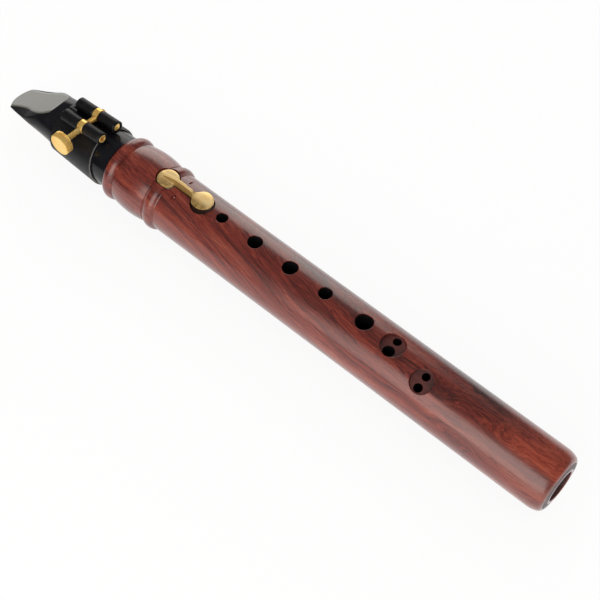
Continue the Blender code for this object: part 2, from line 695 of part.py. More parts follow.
def make_reed(parent, material):
    heel_x = TIP_X + REED_LENGTH
    bow = tip_arc(REED_TIP_HALF_WIDTH, TIP_BOW, 12)
    stations = [(x, y) for x, y in bow if y > 0]
    corner_x = stations[-1][0]
    steps = 12
    for index in range(1, steps + 1):
        share = index / steps
        stations.append((mix(corner_x, heel_x, share), mix(REED_TIP_HALF_WIDTH, REED_HEEL_HALF_WIDTH, share)))
    reed = make_object("reed", skin([reed_ring(x, y) for x, y in stations]), parent)
    spread = REED_HEEL_HALF_WIDTH + OVERCUT
    radius = (spread**2 + REED_HEEL_BOW**2) / (2 * REED_HEEL_BOW)
    heel = []
    steps = 10
    for index in range(steps + 1):
        y = mix(-spread, spread, index / steps)
        heel.append((heel_x - radius + math.sqrt(radius**2 - y * y), y))
    heel += [(heel_x + OVERCUT, spread), (heel_x + OVERCUT, -spread)]
    cut(reed, plate(heel, -SHANK_RADIUS - OVERCUT, 0, 2), "cutter_reed_heel", parent)
    return finish(reed, material)


def band_reach(x, angle, grown):
    """Distance of the band from the axis: round, but drawn flat under the reed."""
    radius = band_inner_radius(x) + grown
    flat = -REED_FACE_Z + REED_HEEL_THICKNESS + SEAT_GAP + grown
    rise = -math.sin(angle)
    if rise <= 0:
        return radius
    reach = flat / rise
    shortest = min(radius, reach)
    blend = (shortest / radius) ** (2 * EDGE_SHARPNESS) + (shortest / reach) ** (2 * EDGE_SHARPNESS)
    return max(shortest * blend ** (-1 / (2 * EDGE_SHARPNESS)), shortest - SEAT_GAP / 2)


def sleeve_z(x):
    """Height of the sleeves' axes, which slope down towards the beak."""
    return SLEEVE_Z + SLEEVE_SLOPE * (x - SCREW_X)


def make_band(parent, material):
    """The band is an open sheet round the mouthpiece, thickened, with a sleeve joined along each edge."""
    bm = bmesh.new()
    opening = math.asin((SLEEVE_Y - SLEEVE_RADIUS / 2) / band_inner_radius(SCREW_X))
    around = 44
    along = 5
    rows = []
    for row in range(along + 1):
        verts = []
        for index in range(around + 1):
            angle = mix(math.pi / 2 + opening, math.pi / 2 + FULL_TURN - opening, index / around)
            drop = (1 - math.sin(angle)) / 2
            rear = BAND_REAR_X + BAND_REAR_SLANT * drop
            x = mix(BAND_FRONT_X, rear, row / along)
            reach = band_reach(x, angle, BAND_THICKNESS / 2)
            verts.append(bm.verts.new((x, reach * math.cos(angle), reach * math.sin(angle))))
        rows.append(verts)
    for lower, upper in zip(rows, rows[1:]):
        for index in range(around):
            bm.faces.new((lower[index], upper[index], upper[index + 1], lower[index + 1]))
    band = make_object("ligature_band", bm, parent)
    wall = band.modifiers.new("band_wall", "SOLIDIFY")
    wall.thickness = BAND_THICKNESS
    wall.offset = 0
    wall.use_even_offset = True
    ends = (SLEEVE_FRONT_X, SLEEVE_REAR_X)
    for name, y in (("near", -SLEEVE_Y), ("far", SLEEVE_Y)):
        sleeve = cylinder(SLEEVE_RADIUS, (ends[0], y, sleeve_z(ends[0])), (ends[1], y, sleeve_z(ends[1])), HOLE_FACETS)
        join(band, sleeve, f"cutter_{name}_sleeve", parent)
        start = (ends[0] - OVERCUT, y, sleeve_z(ends[0] - OVERCUT))
        end = (ends[1] + OVERCUT, y, sleeve_z(ends[1] + OVERCUT))
        cut(band, cylinder(SLEEVE_BORE_RADIUS, start, end, HOLE_FACETS), f"cutter_{name}_sleeve_bore", parent)
        start = (SCREW_X - SLEEVE_NOTCH_WIDTH / 2, y, sleeve_z(SCREW_X - SLEEVE_NOTCH_WIDTH / 2))
        end = (SCREW_X + SLEEVE_NOTCH_WIDTH / 2, y, sleeve_z(SCREW_X + SLEEVE_NOTCH_WIDTH / 2))
        notch = cylinder(PIN_COLLAR_RADIUS + SEAT_GAP, start, end, 2 * HOLE_FACETS)
        cut(band, notch, f"cutter_{name}_sleeve_notch", parent)
    front = SLEEVE_FRONT_X - OVERCUT
    rear = SLEEVE_REAR_X + OVERCUT
    mouth = cylinder(band_inner_radius(front), (front, 0, 0), (rear, 0, 0), 2 * BODY_FACETS, band_inner_radius(rear))
    cut(band, mouth, "cutter_band_mouth", parent)
    return finish(band, material)


def pin_end(length, hollow):
    """Half outline of a ligature pin from its end to its collar: a domed end, or one bored like a hollow rivet."""
    collar = SLEEVE_NOTCH_WIDTH / 2 - SEAT_GAP
    if hollow:
        end = [
            (length - PIN_BORE_DEPTH, 0), (length - PIN_BORE_DEPTH, PIN_BORE_RADIUS),
            (length, PIN_BORE_RADIUS), (length, PIN_RADIUS),
        ]
    else:
        base = length - PIN_DOME_HEIGHT
        end = [
            (base + PIN_DOME_HEIGHT * math.cos(angle), PIN_RADIUS * math.sin(angle))
            for angle in (0, 0.25 * math.pi, 0.42 * math.pi, 0.5 * math.pi)
        ]
    return end + [(collar, PIN_RADIUS), (collar, PIN_COLLAR_RADIUS)]


def make_ligature_pin(name, y, hollow, parent, material):
    """A brass rod in one sleeve, with a collar drilled across for the screw."""
    profile = pin_end(SLEEVE_REAR_X - SCREW_X, hollow)
    profile += [(-x, radius) for x, radius in reversed(pin_end(SCREW_X - SLEEVE_FRONT_X, hollow))]
    pin = turned(name, profile, parent, HOLE_FACETS, closed=False)
    pin.location = (SCREW_X, y, SLEEVE_Z)
    pin.rotation_euler = (0, math.pi / 2 - SLEEVE_TILT, 0)
    reach = PIN_COLLAR_RADIUS + OVERCUT
    hole = cylinder(
        SCREW_RADIUS + SLIP_GAP, (SCREW_X, y - reach, SLEEVE_Z), (SCREW_X, y + reach, SLEEVE_Z), ROD_FACETS
    )
    cut(pin, hole, f"cutter_{name}_hole", parent)
    return finish(pin, material)


def knurled_head():
    """A bmesh thumb screw head: a ribbed drum with chamfered ends."""
    rings = []
    levels = (
        (SCREW_HEAD_BACK_Y, HEAD_CHAMFER), (SCREW_HEAD_BACK_Y - HEAD_CHAMFER, 0),
        (SCREW_HEAD_FRONT_Y + HEAD_CHAMFER, 0), (SCREW_HEAD_FRONT_Y, HEAD_CHAMFER),
    )
    for y, inset in levels:
        ring = []
        for index in range(2 * KNURL_COUNT):
            angle = FULL_TURN * index / (2 * KNURL_COUNT)
            radius = SCREW_HEAD_RADIUS - inset - KNURL_DEPTH * (index % 2)
            ring.append((SCREW_X + radius * math.cos(angle), y, SLEEVE_Z + radius * math.sin(angle)))
        rings.append(ring)
    return skin(rings)


def make_ligature_screw(parent, material):
    shaft = cylinder(
        SCREW_RADIUS, (SCREW_X, SCREW_HEAD_BACK_Y - SCREW_HEAD_HEIGHT / 2, SLEEVE_Z),
        (SCREW_X, SCREW_FAR_Y, SLEEVE_Z), ROD_FACETS,
    )
    screw = make_object("ligature_screw", shaft, parent)
    neck = cylinder(
        SCREW_NECK_RADIUS, (SCREW_X, SCREW_HEAD_BACK_Y - SCREW_HEAD_HEIGHT / 3, SLEEVE_Z),
        (SCREW_X, SCREW_HEAD_BACK_Y + SCREW_NECK_LENGTH, SLEEVE_Z), ROD_FACETS,
    )
    join(screw, neck, "cutter_screw_neck", parent)
    join(screw, knurled_head(), "cutter_screw_head", parent)
    return finish(screw, material)


def disc(centre_x, base, top, radius, bevel, dome):
    """A bmesh round plate with a bevelled, slightly domed top."""
    rings = []
    for level, size in (
        (base, radius), (top - bevel, radius), (top, radius - bevel), (top + dome * 0.7, radius * 0.55),
        (top + dome, radius * 0.2),
    ):
        rings.append([
            (centre_x + size * math.cos(FULL_TURN * index / (2 * ROD_FACETS)),
             size * math.sin(FULL_TURN * index / (2 * ROD_FACETS)), level)
            for index in range(2 * ROD_FACETS)
        ])
    return skin(rings)


def arm_ring(x, bottom, top, ridge=ARM_RIDGE_HALF_WIDTH):
    """Section of the key's arm: upright below, drawn in to a narrow ridge above."""
    middle = max(bottom + 0.2 * MM, min(PIVOT_Z + PIVOT_DEPTH / 2, top - 0.4 * MM))
    width = ARM_HALF_WIDTH
    return [
        (x, -width, bottom), (x, width, bottom), (x, width, middle),
        (x, ridge, top), (x, -ridge, top), (x, -width, middle),
    ]


def make_key(parent, material):
    """Pad cup, ridged arm and touch, brazed into one piece that rocks on the pivot."""
    hub_bottom = PIVOT_Z - HUB_RADIUS
    cup_edge = CUP_X + CUP_RADIUS
    touch_edge = TOUCH_X - TOUCH_RADIUS
    inside_cup = CUP_BASE_Z + CUP_THICKNESS / 3
    inside_touch = TOUCH_BASE_Z + TOUCH_THICKNESS / 3
    arm = skin([
        arm_ring(CUP_X - 0.85 * CUP_RADIUS, inside_cup, CUP_TOP_Z + 0.3 * MM, 0.3 * MM),
        arm_ring(CUP_X - 0.5 * CUP_RADIUS, inside_cup, mix(CUP_TOP_Z, ARM_TOP_Z, 0.5)),
        arm_ring(CUP_X + 0.3 * CUP_RADIUS, inside_cup, mix(CUP_TOP_Z, ARM_TOP_Z, 0.85)),
        arm_ring(cup_edge - 0.2 * MM, inside_cup, ARM_TOP_Z),
        arm_ring(mix(cup_edge, PIVOT_X, 0.5), mix(inside_cup, hub_bottom, 0.75), ARM_TOP_Z),
        arm_ring(PIVOT_X - HUB_RADIUS / 2, hub_bottom, ARM_TOP_Z),
        arm_ring(PIVOT_X + HUB_RADIUS / 2, hub_bottom, ARM_TOP_Z),
        arm_ring(PIVOT_X + HUB_RADIUS + 0.6 * MM, PIVOT_Z + 0.45 * MM, ARM_TOP_Z),
        arm_ring(touch_edge - 0.2 * MM, PIVOT_Z + 0.6 * MM, mix(TOUCH_TOP_Z, ARM_TOP_Z, 0.8)),
        arm_ring(touch_edge + 1.2 * MM, inside_touch, TOUCH_TOP_Z + 0.5 * MM, ARM_HALF_WIDTH * 0.8),
        arm_ring(touch_edge + 2.4 * MM, inside_touch, TOUCH_TOP_Z + 0.1 * MM, ARM_HALF_WIDTH),
    ])
    key = make_object("key", arm, parent)
    cup = disc(CUP_X, CUP_BASE_Z, CUP_TOP_Z, CUP_RADIUS, CUP_BEVEL, 0.05 * MM)
    join(key, cup, "cutter_pad_cup", parent)
    touch = disc(TOUCH_X, TOUCH_BASE_Z, TOUCH_TOP_Z - TOUCH_DOME, TOUCH_RADIUS, CUP_BEVEL, TOUCH_DOME)
    join(key, touch, "cutter_touch", parent)
    reach = ARM_HALF_WIDTH + OVERCUT
    pin_hole = cylinder(PIVOT_HOLE_RADIUS, (PIVOT_X, -reach, PIVOT_Z), (PIVOT_X, reach, PIVOT_Z), ROD_FACETS)
    cut(key, pin_hole, "cutter_key_pivot", parent)
    rivet_x = PIVOT_X + RIVET_FROM_PIVOT
    rivet_hole = cylinder(
        RIVET_RADIUS + SLIP_GAP, (rivet_x, 0, SLOT_FLOOR_Z),
        (rivet_x, 0, spring_root_z() + SPRING_THICKNESS + RIVET_DEPTH + SLIP_GAP), ROD_FACETS,
    )
    cut(key, rivet_hole, "cutter_key_rivet", parent)
    return finish(key, material)


def make_key_pad(parent, material):
    base = PAD_SEAT_Z + SEAT_GAP
    pad = make_object("key_pad", cylinder(PAD_RADIUS, (CUP_X, 0, base), (CUP_X, 0, PAD_TOP_Z), 2 * ROD_FACETS), parent)
    rounding = pad.modifiers.new("soft_edge", "BEVEL")
    rounding.width = PAD_THICKNESS / 5
    rounding.segments = 1
    rounding.limit_method = "ANGLE"
    return finish(pad, material)


def make_key_pin(parent, material):
    half_length = math.sqrt(BODY_RADIUS**2 - (PIVOT_Z + PIVOT_PIN_RADIUS) ** 2) - PIVOT_PIN_INSET
    pin = cylinder(
        PIVOT_PIN_RADIUS, (PIVOT_X, -half_length, PIVOT_Z), (PIVOT_X, half_length, PIVOT_Z), ROD_FACETS
    )
    return finish(make_object("key_pin", pin, parent), material)


def spring_root_z():
    """Underside of the leaf where the rivet holds it against the key's arm."""
    return PIVOT_Z + 0.5 * MM - SEAT_GAP - SPRING_THICKNESS


def make_key_spring(parent, material):
    """A leaf riveted under the arm, whose free end bears on the floor of the touch's recess."""
    root_x = PIVOT_X + SPRING_ROOT_FROM_PIVOT
    tip_x = PIVOT_X + SPRING_TIP_FROM_PIVOT
    bend_x = PIVOT_X + RIVET_FROM_PIVOT + RIVET_HEAD_RADIUS
    tip_z = TOUCH_FLOOR_Z + SEAT_GAP
    stations = [(root_x, spring_root_z()), (bend_x, spring_root_z())]
    steps = 6
    for index in range(1, steps + 1):
        share = index / steps
        fall = share * share * (3 - 2 * share)
        stations.append((mix(bend_x, tip_x, share), mix(spring_root_z(), tip_z, fall)))
    rings = []
    for x, z in stations:
        rings.append([
            (x, -SPRING_HALF_WIDTH, z), (x, SPRING_HALF_WIDTH, z),
            (x, SPRING_HALF_WIDTH, z + SPRING_THICKNESS), (x, -SPRING_HALF_WIDTH, z + SPRING_THICKNESS),
        ])
    spring = make_object("key_spring", skin(rings), parent)
    rivet_x = PIVOT_X + RIVET_FROM_PIVOT
    hole = cylinder(
        RIVET_RADIUS + SLIP_GAP, (rivet_x, 0, SLOT_FLOOR_Z), (rivet_x, 0, PIVOT_Z + PIVOT_DEPTH), ROD_FACETS
    )
    cut(spring, hole, "cutter_spring_rivet", parent)
    return finish(spring, material)


def make_spring_rivet(parent, material):
    rivet_x = PIVOT_X + RIVET_FROM_PIVOT
    head_top = spring_root_z() - SLIP_GAP
    top = spring_root_z() + SPRING_THICKNESS + RIVET_DEPTH
    rivet = make_object(
        "spring_rivet",
        cylinder(RIVET_RADIUS, (rivet_x, 0, head_top - RIVET_HEAD_HEIGHT / 2), (rivet_x, 0, top), ROD_FACETS),
        parent,
    )
    head = cylinder(
        RIVET_HEAD_RADIUS, (rivet_x, 0, head_top - RIVET_HEAD_HEIGHT), (rivet_x, 0, head_top), ROD_FACETS
    )
    join(rivet, head, "cutter_rivet_head", parent)
    return finish(rivet, material)


def build():
    clear_scene()
    bpy.context.scene.collection.children.link(PARTS)
    bpy.context.scene.collection.children.link(CUTTERS)

    rosewood = make_material("oiled_rosewood", (0.19, 0.045, 0.03), 0.35)
    ebonite = make_material("black_ebonite", (0.012, 0.012, 0.014), 0.2)
    cork = make_material("tenon_cork", (0.55, 0.36, 0.2), 0.85)
    cane = make_material("reed_cane", (0.72, 0.56, 0.3), 0.55)
    leather = make_material("black_leather", (0.015, 0.015, 0.017), 0.45)
    bright_brass = make_material("polished_brass", (0.85, 0.58, 0.2), 0.2, 1.0)
    satin_brass = make_material("satin_brass", (0.72, 0.52, 0.2), 0.3, 1.0)
    pad_leather = make_material("pad_leather", (0.75, 0.68, 0.55), 0.8)
    steel = make_material("blued_steel", (0.3, 0.31, 0.35), 0.3, 1.0)

    foot = make_empty("foot_end_axis", FOOT_PLACE)
    pivot = make_empty("key_pivot", (PIVOT_X, 0, PIVOT_Z), foot)
    screw_axis = make_empty("ligature_screw_axis", (SCREW_X, 0, SLEEVE_Z), foot)

    make_body(foot, rosewood)
    make_mouthpiece(foot, ebonite)
    make_tenon_cork(foot, cork)
    make_reed(foot, cane)
    make_band(foot, leather)
    make_ligature_pin("near_ligature_pin", -SLEEVE_Y, True, foot, bright_brass)
    make_ligature_pin("far_ligature_pin", SLEEVE_Y, False, foot, bright_brass)
    make_ligature_screw(screw_axis, bright_brass)
    make_key(pivot, satin_brass)
    make_key_pad(pivot, pad_leather)
    make_key_pin(foot, satin_brass)
    make_key_spring(pivot, steel)
    make_spring_rivet(pivot, satin_brass)


build()
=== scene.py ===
"""Small clarinet in C: rosewood body, black mouthpiece, leather ligature and one sprung brass key.

Pieces are drawn in millimetres from the middle of the foot end: x is negative towards the mouthpiece,
y points away from the thumb screw's head, and z up through the finger holes. finish_piece places them.
"""

import math

import bmesh
import bpy
from mathutils import Matrix, Vector


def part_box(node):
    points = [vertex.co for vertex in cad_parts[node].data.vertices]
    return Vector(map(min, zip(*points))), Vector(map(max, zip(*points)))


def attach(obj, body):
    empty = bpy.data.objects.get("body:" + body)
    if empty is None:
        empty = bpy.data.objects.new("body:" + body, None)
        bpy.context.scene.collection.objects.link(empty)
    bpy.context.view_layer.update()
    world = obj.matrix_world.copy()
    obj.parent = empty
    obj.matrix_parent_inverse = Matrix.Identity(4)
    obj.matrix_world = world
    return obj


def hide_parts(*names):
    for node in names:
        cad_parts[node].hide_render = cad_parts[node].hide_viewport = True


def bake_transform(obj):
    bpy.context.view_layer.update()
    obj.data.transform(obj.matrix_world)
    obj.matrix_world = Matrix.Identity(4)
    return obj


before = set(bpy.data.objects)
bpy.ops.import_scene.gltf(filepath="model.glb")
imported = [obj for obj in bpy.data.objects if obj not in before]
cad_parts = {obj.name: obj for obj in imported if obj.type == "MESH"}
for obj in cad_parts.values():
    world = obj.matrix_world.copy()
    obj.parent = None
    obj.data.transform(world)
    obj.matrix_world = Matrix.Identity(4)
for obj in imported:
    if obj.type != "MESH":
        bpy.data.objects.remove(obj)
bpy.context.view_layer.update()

BODY_LOW, BODY_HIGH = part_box("wooden_body")
FOOT = Vector((BODY_HIGH.x, (BODY_LOW.y + BODY_HIGH.y) / 2, (BODY_LOW.z + BODY_HIGH.z) / 2))
TO_ROW = Matrix.Translation(FOOT) @ Matrix.Scale(0.001, 4)
TURN = 2 * math.pi
ACROSS = (0, 1, 0)
UPRIGHT = (0, 0, 1)
ABOVE_BODY_Z = 20
FIT_GAP = 0.25

# Wooden body
BODY_LENGTH = 247.4
BODY_RADIUS = 14.5
BORE_RADIUS = 7.42
SOCKET_RADIUS = 11.45
SOCKET_DEPTH = 17.5
HOLE_LIP = 0.28
FINGER_HOLES = ((185.6, 5.4), (166.1, 6.85), (145.7, 7.2), (125.8, 6.25), (104.2, 8.15))
DOUBLE_HOLES = (
    {"from_foot": 88.0, "turn": 3, "dish": 11.3, "large": 5.4, "small": 3.8, "spacing": 5.9},
    {"from_foot": 68.5, "turn": 26, "dish": 10.6, "large": 4.0, "small": 3.6, "spacing": 5.6},
)
DISH_DEPTH = 1.0
THUMB_HOLE = (196.0, 6.2)

# Key
PIVOT_X = -209.6
PIVOT_Z = 13.15
PIVOT = (PIVOT_X, 0, PIVOT_Z)
PIVOT_HOLE_RADIUS = 0.68
PIN_MOUTH_RADIUS = 1.1
CUP_X = PIVOT_X - 8.9
CUP_RADIUS = 5.15
CUP_BASE_Z = 13.8
CUP_TOP_Z = 15.15
TOUCH_X = PIVOT_X + 12.1
TOUCH_RADIUS = 5.3
TOUCH_HALF_WIDTH = 5.0
TOUCH_TOP_Z = 17.4
TOUCH_RIM_DROP = 0.95
RECESS_RADIUS = 5.75
CUP_FLOOR_Z = 12.0
TOUCH_FLOOR_Z = 12.2
TONE_HOLE_RADIUS = 2.3
SLOT_HALF_WIDTH = 1.55
SLOT_FLOOR_Z = 11.43
BLADE_HALF_WIDTH = 0.6
RIDGE = (
    (-13.4, 15.2), (-11.2, 16.4), (-8.1, 17.4), (-4.1, 18.2), (-0.6, 18.6), (3.8, 18.3), (8.1, 17.8),
    (12, 17.4),
)
RIVET_FROM_PIVOT = 4.5
RIVET_HOLE_RADIUS = 0.65
SPRING_FROM_PIVOT = (3.4, 13.9)
SPRING_LOW_Z = (13.05, 12.45)
SPRING_HALF_WIDTH = 1
SPRING_THICKNESS = 0.35
SPRING_LEAVES_ARM = 5.35
SPRING_STAYS = 12

# Mouthpiece
SHOULDER_X = -247.65
TIP_X = -320.45
WAIST_X = TIP_X + 37.5
SHANK_RADIUS = 13.6
WAIST_RADIUS = 12.35
CONE_RADII = ((0, 9.8), (8, 10.2), (18, 10.95), (30, 11.5), (37.5, WAIST_RADIUS))
TABLE_DEPTH = 8.5
TENON_LENGTH = 17.5
TENON_RADIUS = 11.25
CORK_THICKNESS = 1.0
LAY_LENGTH = 19.3
TIP_OPENING = 1.0
TIP_RAIL_THICKNESS = 0.4
RAMP_RISE = 0.555
RAMP_LENGTH = 31.0
CREST_RISE = 1.15
FLAT_START = 32.2
FLAT_END = 36.9
FLAT_RISE = 0.04
RAMP_EDGES = (
    (0, 6.9), (3, 6.7), (7, 6.35), (11.4, 6.1), (16.7, 6.45), (20, 7.3), (23, 7.8), (26, 8.0), (40, 8.0),
)
BEVEL_FALL = 0.62
RAIL_HALF_WIDTH = 6.75
TIP_HALF_WIDTH = 6.75
TIP_BOW = 2.75
WINDOW_FRONT_X = TIP_X + 1.1
WINDOW_LENGTH = 32.6
WINDOW_HALF_WIDTH = 5.1
CHAMBER_RADIUS = 6.9

# Reed
REED_LENGTH = 66.8
REED_TIP_HALF_WIDTH = 6.2
REED_HEEL_HALF_WIDTH = 5.7
REED_TIP_THICKNESS = 0.28
REED_THICKNESS = 2.8
REED_FACE_Z = -TABLE_DEPTH - FIT_GAP
VAMP_LENGTH = 33.5

# Ligature
SCREW_X = SHOULDER_X - 19.85
BAND_REAR_X = SHOULDER_X - 9.9
BAND_FRONT_X = BAND_REAR_X - 25.0
BAND_THICKNESS = 1.0
SLEEVE_REAR_X = SCREW_X + 12.5
SLEEVE_FRONT_X = SLEEVE_REAR_X - 24.9
SLEEVE_RADIUS = 3.05
SLEEVE_Y = 4.8
SLEEVE_SINK = 1.05
SLEEVE_TILT = math.radians(4.5)
SLEEVE_AXIS = (math.cos(SLEEVE_TILT), 0, math.sin(SLEEVE_TILT))
SLEEVE_CLEARANCE = 0.12
PIN_RADIUS = 2.0
COLLAR_RADIUS = 3.1
NOTCH_WIDTH = 3.4
SCREW_RADIUS = 1.35
THREAD_PITCH = 0.55
THREAD_DEPTH = 0.16
SCREW_HEAD_RADIUS = 5.4
SCREW_HEAD_BACK_Y = -SLEEVE_Y - SLEEVE_RADIUS - 8.5
SCREW_HEAD_FRONT_Y = SCREW_HEAD_BACK_Y - 4.0
KNURL_COUNT = 48

# Camera
FOCAL_PIXELS = 1412.24
PICTURE_PIXELS = 600
SENSOR_SIZE = 36


def mix(a, b, share):
    return a + (b - a) * share


def spread(first, last, count):
    """Evenly spaced values from first to last, both included."""
    return [mix(first, last, index / count) for index in range(count + 1)]


def smooth(share):
    share = min(1.0, max(0.0, share))
    return share * share * (3 - 2 * share)


def read_curve(curve, place):
    """Value at a place on a smooth curve through (place, value) points, level beyond its ends."""
    for index, ((first, before), (last, after)) in enumerate(zip(curve, curve[1:])):
        if place <= last:
            share = max(0.0, (place - first) / (last - first))
            slopes = []
            for middle in (index, index + 1):
                low, high = curve[max(0, middle - 1)], curve[min(len(curve) - 1, middle + 1)]
                slopes.append((high[1] - low[1]) / (high[0] - low[0]) * (last - first))
            lean = slopes[0] * (1 - share) - slopes[1] * share
            return mix(before, after, smooth(share)) + share * (1 - share) * lean
    return curve[-1][1]


def mouthpiece_radius(x):
    if x > WAIST_X:
        return mix(WAIST_RADIUS, SHANK_RADIUS, (x - WAIST_X) / (SHOULDER_X - WAIST_X))
    return read_curve(CONE_RADII, x - TIP_X)


SLEEVE_REACH = mouthpiece_radius(SCREW_X) + FIT_GAP + BAND_THICKNESS + SLEEVE_RADIUS - SLEEVE_SINK
SLEEVE_Z = math.sqrt(SLEEVE_REACH**2 - SLEEVE_Y**2)


# Mesh helpers


def arc(centre, radii, first, last, count):
    """Points on an ellipse between two angles in degrees, both ends included."""
    return [
        (centre[0] + radii[0] * math.cos(angle), centre[1] + radii[1] * math.sin(angle))
        for angle in map(math.radians, spread(first, last, count))
    ]


def loft(rings):
    """A closed skin drawn from the first ring to the last by extruding and moving its edge loop."""
    bm = bmesh.new()
    verts = [bm.verts.new(point) for point in rings[0]]
    edges = [bm.edges.new(pair) for pair in zip(verts, verts[1:] + verts[:1])]
    bmesh.ops.contextual_create(bm, geom=edges)
    for ring in rings[1:]:
        grown = bmesh.ops.extrude_edge_only(bm, edges=edges)["geom"]
        fresh = {tuple(item.co): item for item in grown if isinstance(item, bmesh.types.BMVert)}
        verts = [fresh[tuple(vert.co)] for vert in verts]
        for vert, point in zip(verts, ring):
            vert.co = point
        edges = [bm.edges.get(pair) for pair in zip(verts, verts[1:] + verts[:1])]
    bmesh.ops.contextual_create(bm, geom=edges)
    bmesh.ops.recalc_face_normals(bm, faces=bm.faces)
    return bm


def turned(profile, steps, closed=False, axis=(1, 0, 0), centre=(0, 0, 0)):
    """A profile of (along, radius) points spun about an axis through the centre."""
    axis = Vector(axis).normalized()
    side = axis.orthogonal().normalized()
    centre = Vector(centre)
    bm = bmesh.new()
    verts = [bm.verts.new(centre + axis * along + side * radius) for along, radius in profile]
    edges = [bm.edges.new(pair) for pair in zip(verts, verts[1:])]
    if closed:
        edges.append(bm.edges.new((verts[-1], verts[0])))
    bmesh.ops.spin(
        bm, geom=verts + edges, cent=centre, axis=axis, dvec=(0, 0, 0), angle=TURN, steps=steps,
        use_merge=True, use_duplicate=False,
    )
    bmesh.ops.remove_doubles(bm, verts=bm.verts, dist=0.0005)
    bmesh.ops.recalc_face_normals(bm, faces=bm.faces)
    return bm


def rod(low, high, radius, steps=64, axis=UPRIGHT, centre=(0, 0, 0)):
    """A round bar between two places along an axis through the centre."""
    return turned([(low, 0), (low, radius), (high, radius), (high, 0)], steps, axis=axis, centre=centre)


def give_bore_shade(bm, inside):
    """Gives the second finish, the bore's painted shade, to the faces whose middle passes the test."""
    for face in bm.faces:
        if inside(face.calc_center_median()):
            face.material_index = 1
    return bm


def join(*parts):
    """One bmesh that holds all the parts."""
    whole = bmesh.new()
    for part in parts:
        mesh = bpy.data.meshes.new("part")
        part.to_mesh(mesh)
        part.free()
        whole.from_mesh(mesh)
        bpy.data.meshes.remove(mesh)
    return whole


def make_object(name, bm, *materials):
    mesh = bpy.data.meshes.new(name)
    bm.to_mesh(mesh)
    bm.free()
    for material in materials:
        mesh.materials.append(material)
    thing = bpy.data.objects.new(name, mesh)
    bpy.context.scene.collection.objects.link(thing)
    return thing


def bake_modifiers(thing):
    """Leaves the piece as its modifiers show it."""
    bpy.context.view_layer.update()
    graph = bpy.context.evaluated_depsgraph_get()
    mesh = bpy.data.meshes.new_from_object(thing.evaluated_get(graph))
    thing.modifiers.clear()
    thing.data = mesh


def carve(thing, cutters, operation="DIFFERENCE"):
    """Cuts the closed shapes out of the piece, or joins them to it."""
    group = bpy.data.collections.new("shapes")
    tools = [make_object("shape", bm, *thing.data.materials) for bm in cutters]
    for tool in tools:
        group.objects.link(tool)
    modifier = thing.modifiers.new("carve", "BOOLEAN")
    modifier.operation = operation
    modifier.solver = "EXACT"
    modifier.operand_type = "COLLECTION"
    modifier.collection = group
    modifier.material_mode = "TRANSFER"
    bake_modifiers(thing)
    for tool in tools:
        bpy.data.objects.remove(tool)
    bpy.data.collections.remove(group)


def finish_piece(thing, body, nodes=(), crease=38, weighted=False, bend=()):
    """Places a finished piece in the row, under its body's empty, and hides the CAD nodes it replaces.

    A piece given a bend is left unattached; the body and points in bend are not used.
    """
    thing.data.transform(TO_ROW)
    thing.data.shade_smooth()
    thing.data.set_sharp_from_angle(angle=math.radians(crease))
    if weighted:
        modifier = thing.modifiers.new("even_shading", "WEIGHTED_NORMAL")
        modifier.keep_sharp = True
        modifier.weight = 80
    if bend:
        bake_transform(thing)
    else:
        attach(thing, body)
    if nodes:
        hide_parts(*nodes)


# Material helpers


class Value:
    """A socket whose sums, differences, products and powers add Math nodes."""

    def __init__(self, finish, socket):
        self.finish = finish
        self.socket = socket

    def maths(self, operation, first, second):
        return self.finish.node("Math", {"operation": operation}, {0: first, 1: second})

    def __add__(self, other):
        return self.maths("ADD", self, other)

    __radd__ = __add__

    def __sub__(self, other):
        return self.maths("SUBTRACT", self, other)

    def __rsub__(self, other):
        return self.maths("SUBTRACT", other, self)

    def __mul__(self, other):
        return self.maths("MULTIPLY", self, other)

    __rmul__ = __mul__

    def __pow__(self, other):
        return self.maths("POWER", self, other)

    def most(self, other):
        """The larger of the two."""
        return self.maths("MAXIMUM", self, other)


